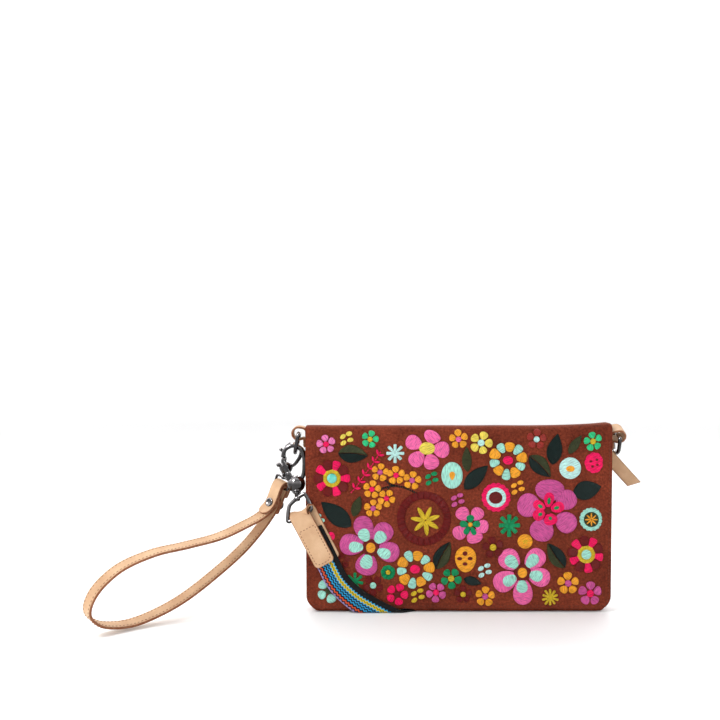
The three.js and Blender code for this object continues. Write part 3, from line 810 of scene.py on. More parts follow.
def flap_point(x, s, lift=0.0):
    """A point over the flap's outer face; s runs up the front, round the fold and back along the top."""
    lift = lift + soft_wave(x, s)
    return flat_flap(taper(x, s), s, lift) + np.array([0, 0, corner_lift(x, s)])


def flat_flap(x, s, lift):
    if s < FOLD_START:
        return np.array([x, FACE_Y - lift, s])
    if s < TOP_START:
        a = (s - FOLD_START) / FOLD
        return np.array([x, FACE_Y + FOLD - (FOLD + lift) * math.cos(a), FOLD_START + (FOLD + lift) * math.sin(a)])
    y = FACE_Y + FOLD + s - TOP_START
    if s < FLAP_BACK:
        return np.array([x, y, TOP_Z + lift])
    a = min((s - FLAP_BACK) / BACK_ROLL, math.pi / 2)
    return np.array([x, BACK_Y - BACK_ROLL + (BACK_ROLL + lift) * math.sin(a),
                     TOP_Z - BACK_ROLL + (BACK_ROLL + lift) * math.cos(a)])


def on_front(x, z, lift):
    """A point over the flap that is seen from the front at height z."""
    s = z if z < FOLD_START else FOLD_START + FOLD * math.asin(min((z - FOLD_START) / FOLD, 1))
    return flap_point(x, s, lift)


def bend_with_flap(obj):
    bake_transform(obj)


def make_flap():
    thick = 1.5
    parts = Parts()
    panel(parts, HALF, FLAP_LOW, FLAP_BACK + 3.2, CORNER, thick,
          lambda x, s, lift: flap_point(x, s, lift - thick / 2), step=4.5)
    cover = parts.build("flap_cover", SUEDE, merge=True)
    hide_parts("flap_front", "flap_top")
    bend_with_flap(cover)

    thin = 0.6
    parts = Parts()
    panel(parts, HALF - 2, FLAP_LOW + 2, FLAP_BACK, CORNER - 2, thin,
          lambda x, s, lift: flap_point(x, s, -lift - 2.05 - soft_wave(x, s)), step=8)
    lining = parts.build("flap_lining", LINING, merge=True)
    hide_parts("flap_front_lining", "flap_top_lining")
    bend_with_flap(lining)


def make_flap_seams():
    """Turned-edge stitching, brown on brown, a little inside the flap's rim."""
    parts = Parts()
    inset, r = 2.6, CORNER - 2.6
    h = HALF - inset
    line = [(-h, FOLD_START - 8), *[(-h, z) for z in range(140, 20, -20)]]
    line += arc(-h + r, FLAP_LOW + inset + r, r, 180, 270)
    line += [(x, FLAP_LOW + inset) for x in range(-110, 111, 20)]
    line += arc(h - r, FLAP_LOW + inset + r, r, 270, 360)
    line += [(h, z) for z in range(30, 150, 20)] + [(h, FOLD_START - 8)]
    p = np.array([on_front(x, z, 0.02) for x, z in resample(np.array(line), 3.0)])
    stitches(parts, p, (0, -1, 0), length=2.0, gap=0.9, radius=0.17)
    seam = parts.build("flap_stitching", BROWN)
    bend_with_flap(seam)


make_flap()
make_flap_seams()


def make_flap_hinge():
    """Strip of suede that joins the flap's back edge to the back panel."""
    parts = Parts()
    path = [(12.35, 152.3), (12.45, 154.2), (12.45, 156), (12.2, 157.3), (11.3, 157.95), (9.5, 158.05), (7.5, 158.1)]
    p = smooth_path([(0, y, z) for y, z in path], 0.7)
    half = HALF - 0.6
    columns = spread(-half, half, 6, 0.9)
    for side in (1, -1):
        verts, faces, uvs, edge = [], [], [], []
        d = tangents(p)
        total = path_length(p)
        for i, c in enumerate(p):
            out = np.array([0, d[i][2], -d[i][1]])
            s = total * i / (len(p) - 1)
            for x in columns:
                rim = max(min(half - abs(x), s, total - s, 0.5), 0) / 0.5
                off = side * 0.42 * math.sqrt(1 - (1 - rim) ** 2) + 0.3 * noise.noise(Vector((x / 30, s / 9, 1.2)))
                verts.append((taper(x, c[2]), *(c + out * off)[1:]))
                uvs.append((x / 10, s / 10))
                edge.append(1 - rim)
        m = len(columns)
        for i in range(len(p) - 1):
            for j in range(m - 1):
                faces.append((i * m + j, i * m + j + 1, (i + 1) * m + j + 1, (i + 1) * m + j))
        parts.add(verts, faces, uvs, edge)
    strip = parts.build("flap_hinge_strip", SUEDE_BACK, merge=True)
    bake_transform(strip)
    parts = Parts()
    line = [(x, 12.95, 153.7) for x in np.linspace(-half + 2, half - 2, 60)]
    stitches(parts, line, (0, 1, 0), radius=0.24)
    finish_piece(parts.build("hinge_stitching", BROWN), "wallet")


make_flap_hinge()


# ---- embroidery ---------------------------------------------------------------------

COLOURS = {
    "hot_pink": linear(255, 14, 98), "pink": linear(255, 112, 178), "orchid": linear(214, 88, 158),
    "orchid_light": linear(245, 128, 190), "maroon": linear(112, 22, 20), "rust": linear(160, 52, 44),
    "aqua": linear(172, 240, 222), "aqua_light": linear(200, 248, 242), "orange": linear(255, 172, 44),
    "yellow": linear(248, 226, 92), "gold": linear(224, 192, 44), "emerald": linear(8, 150, 92),
    "bright_green": linear(52, 210, 136), "dark_green": linear(7, 30, 27), "olive": linear(56, 62, 34),
}

# x, z, radius, petals, centre, direction of the first petal
SMALL_FLOWERS = [
    (-115.3, 145.2, 8.2, "orchid_light", "hot_pink", 100),
    (-77.3, 149.5, 7.5, "bright_green", "gold", 75),
    (-68.7, 121, 7.8, "orange", "orchid", 80),
    (-54.9, 118.4, 7.8, "orange", "hot_pink", 90),
    (-41, 114, 8.0, "orange", "orchid", 80),
    (-75.6, 106.3, 7.8, "orange", "hot_pink", 80),
    (-63.1, 98.5, 7.8, "orange", "hot_pink", 60),
    (-74.7, 89.9, 7.8, "orange", "orchid", 90),
    (-74.7, 23.3, 9.1, "maroon", "aqua", 125),
    (-112.8, 19, 10.9, "aqua", "olive", 140),
    (-54, 15.6, 9.5, "hot_pink", "maroon", 67),
    (-20.3, 17.3, 8.6, "orchid", "hot_pink", 120),
    (-7.3, 29.4, 9.1, "emerald", "gold", 130),
    (3, 15.6, 7.8, "maroon", "gold", 90),
    (-0.9, 149.5, 8.2, "orange", "pink", 95),
    (18.6, 146.4, 9.9, "yellow", "aqua_light", 70),
    (66.5, 149.5, 8.6, "rust", "aqua_light", 85),
    (115.3, 146.4, 8.2, "bright_green", "gold", 100),
    (28.9, 56.2, 9.5, "maroon", "gold", 100),
    (93.7, 25.1, 9.5, "orange", "orchid", 90),
    (112.8, 16.4, 10.4, "orchid", "hot_pink", 88),
    (22, 13.8, 8.6, "orange", "orchid", 85),
]

# x, z, length, width, direction of the tip, colour of the left half, colour of the right half
LEAVES = [
    (-92, 136.5, 26, 15.6, -5, "olive", "dark_green"),
    (-106.6, 84.8, 33.5, 16.2, 141, "dark_green", ""),
    (-88.6, 91.6, 19, 8.6, 72, "olive", ""),
    (-14.3, 49.2, 27, 13.8, 62, "dark_green", "olive"),
    (6.5, 132.2, 22, 8.6, 92, "olive", ""),
    (14.3, 116.6, 29, 13.0, 45, "dark_green", ""),
    (82.5, 140.8, 27, 13.4, 80, "dark_green", ""),
    (99.8, 144.3, 19, 7.8, 55, "olive", ""),
    (69.6, 126.1, 26, 14.7, -45, "olive", "dark_green"),
    (110.2, 105.4, 26, 16.4, 15, "dark_green", ""),
    (83.4, 49.2, 26, 13.8, 125, "olive", "dark_green"),
    (11.2, 26.8, 16, 7.8, -15, "dark_green", ""),
]

# x, z, spread, colour of four small grains
BERRIES = [
    (-98.1, 150.3, 4.4, "yellow"), (-24.6, 115.8, 4.4, "emerald"), (-36.7, 14.7, 4.6, "gold"),
    (49.7, 108, 4.6, "orange"), (-2.2, 97.2, 4.4, "orchid"), (21.2, 36.3, 4.6, "aqua_light"),
]


def turned(points, angle, x=0.0, z=0.0):
    a = math.radians(angle)
    return [(x + u * math.cos(a) - v * math.sin(a), z + u * math.sin(a) + v * math.cos(a)) for u, v in points]


def egg(length, width, fat=0.0, steps=28):
    """Outline along +u, fatter at its far end by `fat`."""
    made = []
    for i in range(steps):
        t = 2 * math.pi * i / steps
        made.append((length / 2 * math.cos(t), width / 2 * math.sin(t) * (1 + fat * math.cos(t))))
    return made


def blob(parts, outline, height, colour, thread, base=0.0):
    """A padded patch of satin stitch. thread is the direction its stitches run in, in degrees."""
    p = np.array(outline)
    middle = p.mean(0)
    a = math.radians(thread)
    rows, uvs = [], []
    jitter = noise.noise(Vector((middle[0], middle[1], 0.5))) * 0.08
    shade = tuple(c * (1 + jitter) for c in COLOURS[colour])
    for k, h in ((1.0, -0.25), (1.0, 0.3), (0.96, 0.62), (0.87, 0.85), (0.7, 0.97), (0.4, 1.0), (0.02, 1.0)):
        ring = middle + (p - middle) * k
        rows.append([on_front(x, z, base + height * h) for x, z in ring])
        uvs += [(x * math.sin(a) - z * math.cos(a), x * math.cos(a) + z * math.sin(a)) for x, z in ring]
    parts.grid(rows, uvs, wrap=True, colour=shade)


def hoop(parts, x, z, inner, outer, height, colour, base=0.0, steps=48, bundles=0):
    """A ring of stitches that run across it, gathered in bundles with a crease between."""
    rows, uvs = [], []
    for i in range(steps + 1):
        t = 2 * math.pi * (i % steps) / steps
        crease = 1 - 0.55 * abs(math.cos(bundles * t / 2)) ** 10 if bundles else 1
        ragged = 0.55 * noise.noise(Vector((3 * math.cos(t), 3 * math.sin(t), x))) if bundles else 0
        row = []
        for k in range(9):
            w = math.pi * k / 8
            r = (inner + outer) / 2 - ((outer - inner) / 2 + ragged) * math.cos(w)
            lift = base + height * crease * math.sin(w) ** 0.6 - 0.15
            row.append(on_front(x + r * math.cos(t), z + r * math.sin(t), lift))
            uvs.append((outer * 2 * math.pi * i / steps, r))
        rows.append(row)
    parts.grid(rows, uvs, colour=COLOURS[colour])


def disc(parts, x, z, r, height, colour, base=0.0, stretch=1.0, thread=20, scallops=0, angle=0):
    p = []
    for i in range(max(28, scallops * 6)):
        t = 2 * math.pi * i / max(28, scallops * 6)
        size = r * (1 + (0.07 * abs(math.sin(scallops * t / 2)) - 0.03 if scallops else 0))
        p.append((size * math.cos(t), size * stretch * math.sin(t)))
    blob(parts, turned(p, angle, x, z), height, colour, thread, base)


def pad(inner, outer, half_angle, square=0.7, steps=32):
    """Outline of a wedge along +u between two radii; the lower `square` is, the squarer it is."""
    made = []
    for i in range(steps):
        t = 2 * math.pi * i / steps
        u, v = (math.copysign(abs(w) ** square, w) for w in (math.cos(t), math.sin(t)))
        r, a = (inner + outer) / 2 + (outer - inner) / 2 * u, math.radians(half_angle) * v
        made.append((r * math.cos(a), r * math.sin(a)))
    return made


def arm(reach, width, steps=20):
    """Outline of a blunt bar along +u that widens a little outwards."""
    made = []
    for i in range(steps):
        t = 2 * math.pi * i / steps
        u, v = (math.copysign(abs(w) ** 0.4, w) for w in (math.cos(t), math.sin(t)))
        made.append((reach * (1 + u) / 2, width / 2 * v * (0.85 + 0.2 * u)))
    return made


def petal(parts, x, z, near, far, width, angle, colour, height, base, fat, thread):
    shape = [((near + far) / 2 + u, v) for u, v in egg(far - near, width, fat)]
    blob(parts, turned(shape, angle, x, z), height, colour, thread, base)


def petals(parts, x, z, near, far, width, count, start, colour, height, base=0.0, fat=0.25):
    """Even petals round (x, z), from radius near to radius far."""
    for i in range(count):
        angle = start + 360 * i / count
        wobble = noise.noise(Vector((x + 3 * i, z, 4.4)))
        petal(parts, x, z, near, far * (1 + 0.05 * wobble), width * (1 + 0.08 * wobble), angle + 4 * wobble,
              colour, height, base, fat, angle + 25 + 20 * wobble)


def free_petals(parts, x, z, near, shapes, colour, height, base=0.0, fat=0.22):
    """Uneven petals round (x, z), each given as its direction, reach and width."""
    for angle, far, width in shapes:
        petal(parts, x, z, near, far, width, angle, colour, height, base, fat, angle + 72)


def small_flowers():
    parts = Parts()
    for x, z, r, petal, centre, start in SMALL_FLOWERS:
        petals(parts, x, z, r * 0.3, r, r * 0.72, 5, start, petal, 1.0)
        disc(parts, x, z, r * 0.3, 0.8, centre, 0.35)
    petals(parts, -101.5, 44.9, 1.8, 7, 5, 5, 90, "maroon", 0.5)
    return parts


def large_flowers():
    parts = Parts()
    free_petals(parts, -28.1, 141.7, 5, [(66, 15.8, 14.5), (157, 19.6, 12.6), (226, 20, 13), (287, 18.8, 13.2),
                                         (355, 19.4, 14)], "pink", 1.4)
    disc(parts, -28.1, 141.7, 6.9, 1.0, "yellow", 0.7, 0.78)
    free_petals(parts, 9.1, 76, 4.5, [(56, 16.6, 11), (125, 17, 11.8), (218, 17.4, 12), (290, 17, 13.8),
                                      (351, 16, 11.4)], "pink", 1.3)
    free_petals(parts, 9.1, 76, 1.4, [(90, 8.4, 6.4), (5, 8.8, 5.6), (295, 10, 4.4), (240, 9.6, 4.8),
                                      (175, 9, 5.6)], "emerald", 0.7, 0.95, 0.35)
    disc(parts, 9.1, 76, 2.0, 0.8, "orange", 1.2)
    for x, z, colour, outer, inner in (
            (-76.8, 56.2, "orchid",
             [(-14, 25.4, 17), (50, 25.6, 16.8), (109, 28.3, 16.4), (172, 27, 18), (257, 24.6, 18.8)],
             [(-23, 18.6, 9), (47, 17.6, 10.2), (117, 17.8, 9.8), (178, 19, 9.2), (254, 19, 10.6)]),
            (54, 34.6, "pink",
             [(-15, 24.8, 16), (46, 25.8, 16.4), (135, 24.8, 18), (207, 27, 17.6), (272, 28, 16.6)],
             [(-13, 18, 9.4), (50, 20, 9.4), (135, 19.6, 10), (211, 19, 9.4), (269, 17.6, 9.4)])):
        free_petals(parts, x, z, 5, outer, colour, 1.3)
        free_petals(parts, x, z, 5.5, inner, "aqua", 0.6, 1.05, 0.3)
        disc(parts, x, z, 7.4, 0.7, "maroon", 1.0)
        disc(parts, x, z, 4.1, 0.5, "orange", 1.5, 1.08)
    free_petals(parts, 77.3, 88.1, 8, [(88, 26.8, 25), (166, 28, 20.6), (250, 28, 20.6), (325, 27.4, 18),
                                       (31, 26.6, 17)], "orchid", 1.4, 0, 0.1)
    heart = [(84, 16, 8.6), (18, 14.8, 9.2), (287, 13, 11.6), (205, 13.8, 9.8), (150, 14.4, 8)]
    free_petals(parts, 76, 88.1, 2.5, heart, "hot_pink", 0.7, 1.05)
    free_petals(parts, 76, 88.1, 5.4, [(angle, far - 4.6, 3) for angle, far, _ in heart], "emerald", 0.5, 1.5, 0)
    disc(parts, 76, 88.1, 3.2, 0.7, "maroon", 1.2)
    return parts


def daisies():
    parts = Parts()
    for x, z, start in ((-110.2, 115.8, 72), (109.3, 50.1, 62)):
        for i in range(5):
            angle = start + 72 * i
            shape = pad(5.5, 15.6 + 0.5 * math.sin(2.3 * i), 15.5, 0.5)
            blob(parts, turned(shape, angle, x, z), 1.1, "hot_pink", angle + 90)
            petal(parts, x, z, 6.5, 16.4, 8.6, angle + 36, "maroon", 1.2, 0, 0.15, angle + 100)
        disc(parts, x, z, 6.2, 0.6, "gold", 0.3)
        hoop(parts, x, z, 4.3, 7.8, 1.2, "gold", 0.35)
    disc(parts, 109.3, 50.1, 4.2, 0.5, "aqua", 0.8)
    return parts


def wheels():
    parts = Parts()
    for x, z, start in ((-38.4, 37.2, 79), (41.9, 131.3, 83)):
        for i in range(10):
            half, colour = (19.4, "orange") if i % 2 == 0 else (15.2, "aqua")
            angle = start + 36 * i
            reach = 16.4 + 0.7 * math.sin(1.9 * i + x)
            blob(parts, turned(pad(7.4, reach, half, 0.72), angle, x, z), 1.4, colour, angle + 90)
        disc(parts, x, z, 4.4, 1.1, "hot_pink", 0, 0.85)
    return parts


def rings_and_buttons():
    parts = Parts()
    hoop(parts, -30.7, 81.2, 16.5, 23.5, 1.3, "maroon", steps=288, bundles=24)
    hoop(parts, -61.8, 34.6, 2.2, 6.2, 1.3, "emerald", steps=96, bundles=7)
    disc(parts, -61.8, 34.6, 2.0, 0.7, "gold")
    disc(parts, -6.5, 118.4, 9.2, 1.2, "aqua", 0, 1.25, 90)
    blob(parts, turned(egg(7.5, 4.8, -0.4), 270, -6.5, 118), 0.6, "orange", 90, 0.95)
    disc(parts, 95.5, 124.4, 9.4, 1.2, "aqua_light", 0, 0.98)
    disc(parts, 95.5, 124.0, 3.8, 0.6, "orange", 0.95, 0.7)
    disc(parts, 116.2, 128.7, 8.0, 1.0, "hot_pink", 0, 1.05, scallops=9)
    for dx, dz in ((-3, 1.4), (2.2, 2.4), (2.6, -1.8), (-1.6, -2.9)):
        disc(parts, 116.2 + dx, 128.7 + dz, 1.25, 0.3, "maroon", 0.85, 0.8)
    disc(parts, 31.5, 99.4, 12.2, 1.0, "hot_pink", 0, 1.0, scallops=16)
    disc(parts, 31.5, 99.4, 8.7, 0.5, "aqua_light", 0.75)
    disc(parts, 31.0, 99.2, 5.9, 0.5, "maroon", 1.05, 0.9)
    disc(parts, 113.6, 80.4, 9.8, 1.0, "aqua", 0, 1.0, scallops=18)
    disc(parts, 113.6, 80.4, 6.7, 0.4, "olive", 0.8)
    petals(parts, 113.6, 80.4, 0.3, 5.6, 1.3, 8, 90, "orange", 0.5, 1.0, 0)
    disc(parts, 56.6, 61.3, 6.5, 0.9, "orange", 0, 0.95)
    petals(parts, 56.6, 61.3, 0.2, 2.8, 0.9, 5, 90, "gold", 0.4, 0.7, 0)
    blob(parts, turned(egg(22.5, 18.2, -0.12), 270, 5.2, 45.8), 1.1, "orange", 20)
    for dx, dz, stretch in ((0, 4.6, 0.9), (-4.6, 0.2, 0.7), (4.4, 0.3, 0.7), (0, -4.4, 0.7)):
        disc(parts, 4.6 + dx, 46.4 + dz, 2.2, 0.35, "maroon", 0.95, stretch)
    return parts


def leaf(parts, x, z, length, width, angle, left, right):
    """A leaf with its tip at +u: one patch, or two halves along its midrib."""
    def rim(side):
        made = []
        for i in range(1, 15):
            t = i / 15
            w = width / 2 * math.sin(math.pi * t ** 0.82) ** 0.85 * (1.05 if side > 0 else 0.95)
            made.append((length * (t - 0.5), side * w))
        return made

    ends = [(-length / 2, 0)], [(length / 2, 0)]
    if not right:
        outline = ends[0] + rim(-1) + ends[1] + rim(1)[::-1]
        blob(parts, turned(outline, angle, x, z), 1.1, left, angle + 62)
        return
    spine = [(length * (t - 0.5), 0.08 * width * math.sin(math.pi * t)) for t in np.linspace(0.94, 0.06, 9)]
    blob(parts, turned(ends[0] + rim(1) + ends[1] + spine, angle, x, z), 1.1, left, angle + 55)
    low = [(u, v - 0.35) for u, v in spine]
    blob(parts, turned(ends[0] + rim(-1) + ends[1] + low, angle, x, z), 1.0, right, angle - 40)


def leaves():
    parts = Parts()
    for row in LEAVES:
        leaf(parts, *row)
    return parts


def little_things():
    parts = Parts()
    for x, z, far, colour in BERRIES:
        for i, (dx, dz) in enumerate(((0.6, 0.9), (-0.6, 0.35), (0.85, -0.3), (-0.5, -0.9))):
            disc(parts, x + dx * far, z + dz * far, 2.75, 1.0, colour, 0, 0.68, 70, angle=12 + 22 * (i % 2))
    for x, z in ((-121.6, 83.5), (-118.6, 79.5), (-118.2, 74.6)):
        disc(parts, x, z, 2.2, 0.45, "aqua", 0, 0.8)
    disc(parts, -111, 65.7, 3.4, 0.7, "hot_pink", 0, 1.1)
    stars = ((-55.7, 137.4, 8.0, 8, "aqua_light", 2.9), (-90.3, 26.8, 7.6, 7, "emerald", 2.8),
             (42.8, 75.2, 9.5, 8, "emerald", 3.9), (78.2, 13, 7.2, 10, "gold", 2.1))
    for x, z, r, count, colour, width in stars:
        for i in range(count):
            reach, angle = r * (1 + 0.06 * math.sin(2.1 * i)), 90 + 360 * i / count
            blob(parts, turned(arm(reach, width), angle, x, z), 0.9, colour, angle + 90)
    petals(parts, -29.5, 79.5, 0.6, 13, 4.0, 7, 70, "gold", 0.9, 0, -0.1)
    return parts


def stems():
    """Chain-stitched stems under the orange flowers."""
    parts = Parts()
    lines = [
        [(-72, 103), (-66, 107.5), (-56, 109.6), (-48, 108), (-40, 104.5), (-36.5, 102)],
        [(-66, 116), (-60, 110.5), (-56, 109.2)],
        [(-45, 113), (-46, 109)],
        [(-63, 103), (-61, 108)],
    ]
    for line in lines:
        p = np.array([on_front(x, z, 0.1) for x, z in resample(np.array(line, float), 1.0)])
        for off in (-0.5, 0.5):
            stitches(parts, p + np.array([0, 0, off]), (0, -1, 0), 1.7, 0.4, 0.5, colour=COLOURS["dark_green"])
    return parts


def sprig():
    """A small generic twig with paired leaves."""
    parts = Parts()
    line = resample(np.array([(-94, 103), (-88, 110), (-82, 119), (-75, 128), (-68, 139)], float), 1.0)
    p = np.array([on_front(x, z, 0.1) for x, z in line])
    stitches(parts, p, (0, -1, 0), 2.0, 0.3, 0.55, colour=COLOURS["hot_pink"])
    for i in range(5, len(line) - 3, 7):
        x, z = line[i]
        for side in (50, -50):
            shape = [(3.1 + u, v) for u, v in egg(4.6, 2.0, -0.2, 16)]
            blob(parts, turned(shape, 54 + side, x, z), 0.8, "hot_pink", 54 + side)
    return parts


def beads():
    parts = Parts()
    rows = []
    x, z = -110.2, 115.8
    for w in np.radians(np.linspace(0, 88, 10)):
        r, lift = 4.3 * math.cos(w), 0.7 + 1.5 * math.sin(w)
        rows.append([on_front(x + r * math.cos(t), z + r * math.sin(t), lift) for t in np.radians(range(0, 360, 12))])
    parts.grid(rows, wrap=True)
    return parts


for motif, gather in (("small_flowers", small_flowers), ("large_flowers", large_flowers), ("daisies", daisies),
                      ("wheels", wheels), ("rings_and_buttons", rings_and_buttons), ("leaves", leaves),
                      ("berries_and_stars", little_things), ("stems", stems), ("sprig", sprig)):
    bend_with_flap(gather().build("embroidered_" + motif, THREAD))
bend_with_flap(beads().build("turquoise_bead", BEAD))


# ---- case ---------------------------------------------------------------------------

ARCH_FRONT, ARCH_BACK, ARCH_RISE = (-97, -42), (-62, -10), 2.6
CASE_HALF, CASE_TOP = 131.8, 157.3
ZIP_Z = 148.0
SLOT = (-124.5, 127.5, ZIP_Z, 9.0)


def arch_lift(x, z, y):
    """How much the base rises over the strap, which slants back under it."""
    back = min(max((y + 9) / 20, 0), 1)
    left, right = (ARCH_FRONT[i] * (1 - back) + ARCH_BACK[i] * back for i in (0, 1))
    rise = min(max((x - left) / 4, 0), 1) * min(max((right - x) / 4, 0), 1)
    return 0.5 + ARCH_RISE * rise * max(0, 1 - z / 9)


def flat_place(y, outward, wave=0.0, seed=0.0):
    def place(x, z, lift):
        soft = wave * (1 + noise.noise(Vector((x / 40, z / 34, seed)))) if wave else 0
        rim = min(CASE_HALF - abs(x), z, CASE_TOP - z) / 12
        soft *= min(max(rim, 0), 1)
        return np.array([taper(x, z), y + outward * (lift + soft), z + arch_lift(x, z, y)])
    return place


def make_case():
    parts = Parts()
    panel(parts, CASE_HALF, 0, CASE_TOP, CORNER, 1.7, flat_place(11.15, 1, 0.35, 2.2), 5, SLOT)
    finish_piece(parts.build("case_back", SUEDE_BACK, merge=True), "wallet", "suede", ("back_panel",))
    parts = Parts()
    panel(parts, CASE_HALF, 0, CASE_TOP, CORNER, 1.4, flat_place(-8.5, -1), 6)
    finish_piece(parts.build("case_front", SUEDE, merge=True), "wallet", "suede", ("front_panel",))


def case_outline(inset):
    h, r = CASE_HALF - inset, CORNER - inset
    line = [(-h, z) for z in np.linspace(CASE_TOP, inset + r, 22)] + arc(-h + r, inset + r, r, 180, 270, 12)[1:]
    xs = [x for x in np.linspace(-h + r + 4, h - r - 4, 50)]
    line += [(x, inset) for x in xs]
    line += arc(h - r, inset + r, r, 270, 360, 12) + [(h, z) for z in np.linspace(inset + r, CASE_TOP, 22)][1:]
    return line


def make_gusset():
    """The strip between front and back, with a soft crease down its middle."""
    parts = Parts()
    line = np.array([(x, 1.25, z) for x, z in case_outline(0.85)])
    line = resample(line, 3.0)
    t = tangents(line)
    rows, uvs, edge = [], [], []
    run = 0
    for i, c in enumerate(line):
        out = np.array([t[i][2], 0, -t[i][0]])
        run += 0 if i == 0 else np.linalg.norm(line[i] - line[i - 1])
        row = []
        for a, b, e in section(8.7, 1.5, 13):
            crease = 0.5 * (1 - (a / 8.7) ** 2) * (1 if c[2] > 14 else 0)
            lean = np.array([taper(c[0], c[2]) - c[0], a, arch_lift(c[0], c[2], c[1] + a)])
            row.append(c + lean + out * (b * 0.95 - crease * 0.8))
            uvs.append((run / 10, a / 10))
            edge.append(e)
        rows.append(row)
    parts.grid(rows, uvs, edge, wrap=True)
    finish_piece(parts.build("case_gusset", SUEDE, merge=True), "wallet", "suede", ("gusset",))


def make_case_seams():
    """Seams along the gusset, and a double row round the zip."""
    parts = Parts()
    inset, r = 2.4, CORNER - 2.4
    h = CASE_HALF - inset
    line = [(-h, 153), (-h, 80)] + arc(-h + r, inset + r, r, 180, 270) + [(-100, inset)]
    line += [(x, inset) for x in (-90, -50, -15, 40, 110)]
    line += arc(h - r, inset + r, r, 270, 360) + [(h, 80), (h, 153)]
    p = [(taper(x, z), 12.15, z + arch_lift(x, z, 12)) for x, z in resample(np.array(line, float), 2.5)]
    stitches(parts, p, (0, 1, 0), radius=0.24)
    left, right, z0 = SLOT[0] - 2.2, SLOT[1] + 2.2, ZIP_Z
    around = [(left + 6, z0 - 6.7), (right - 2, z0 - 6.7), (right, z0 - 5), (right, z0 + 5), (right - 2, z0 + 6.7),
              (left + 6, z0 + 6.7), (left + 1.2, z0 + 4.4), (left, z0), (left + 1.2, z0 - 4.4), (left + 6, z0 - 6.7)]
    p = resample(np.array([(x, 12.35, z) for x, z in around]), 2.0)
    stitches(parts, p, (0, 1, 0), length=2.0, gap=0.9, radius=0.22)
    finish_piece(parts.build("case_stitching", BROWN), "wallet")


def make_interior():
    low = ARCH_RISE + 1.9
    sheets = (("zip_pocket_sheet", "zip_pocket_lining", 7.75, 155, LINING, "lining", 0.6),
              ("divider_sheet", "divider", 1.2, 142, LINING, "lining", 1.1),
              ("card_sheet_1", "card_pocket_1", -0.05, 122, NATURAL, "natural_leather", 0.6),
              ("card_sheet_2", "card_pocket_2", -1.05, 102, NATURAL, "natural_leather", 0.6),
              ("card_sheet_3", "card_pocket_3", -2.05, 82, NATURAL, "natural_leather", 0.6))
    for name, cad, y, top, material, slot, thick in sheets:
        parts = Parts()
        panel(parts, 130, low, top, 8, thick, lambda x, z, lift, y=y: np.array([x, y - lift, z]), 8)
        finish_piece(parts.build(name, material, merge=True), "wallet", slot, (cad,))
    parts = Parts()
    for y, top in ((-0.4, 122), (-1.4, 102), (-2.4, 82)):
        line = [(x, y, top - 2.2) for x in (-127, 127)]
        stitches(parts, resample(np.array(line, float), 3), (0, -1, 0), radius=0.2)
    finish_piece(parts.build("pocket_stitching", CREAM), "wallet")


make_case()
make_gusset()
make_case_seams()
make_interior()


# ---- zip ------------------------------------------------------------------------------

def make_zip():
    for side, name in ((1, "upper"), (-1, "lower")):
        parts = Parts()

        def place(x, s, lift, side=side):
            rib = 0.12 * math.sin(s * 2.6)
            return np.array([x, 8.85 + lift + (rib if lift > 0 else 0), ZIP_Z + side * s])

        panel(parts, 128.5, 0.25, 9, 0.01, 0.7, place, 1.6)
        finish_piece(parts.build("tape_" + name, TAPE, merge=True), "wallet", "zip_tape", ("zip_tape_" + name,))
    parts = Parts()
    for i in range(61):
        for side, shift in ((1, 0), (-1, 2)):
            x = -121 + 4 * i + shift
            foot = [(x, 0.2 * side), (x + 1.9, 0.2 * side), (x + 1.9, 2.6 * side), (x, 2.6 * side)]
            nose = [(x + 0.45, -0.8 * side), (x + 1.45, -0.8 * side), (x + 1.6, 0.6 * side), (x + 0.3, 0.6 * side)]
            slab(parts, [(u, ZIP_Z + v) for u, v in foot], 9.4, 11.4, 0.3)
            slab(parts, [(u, ZIP_Z + v) for u, v in nose], 9.9, 11.0, 0.25)
    for dz in (-3.0, 3.0):
        tube(parts, [(x, 9.7, ZIP_Z + dz) for x in (-124, 0, 126)], 0.45, 10, 3)
    finish_piece(parts.build("zip_tooth_row", TEETH), "wallet", "dark_metal", ("zip_teeth",))


PULL_ANGLE, SLIDER_X = 47.8, 121.9


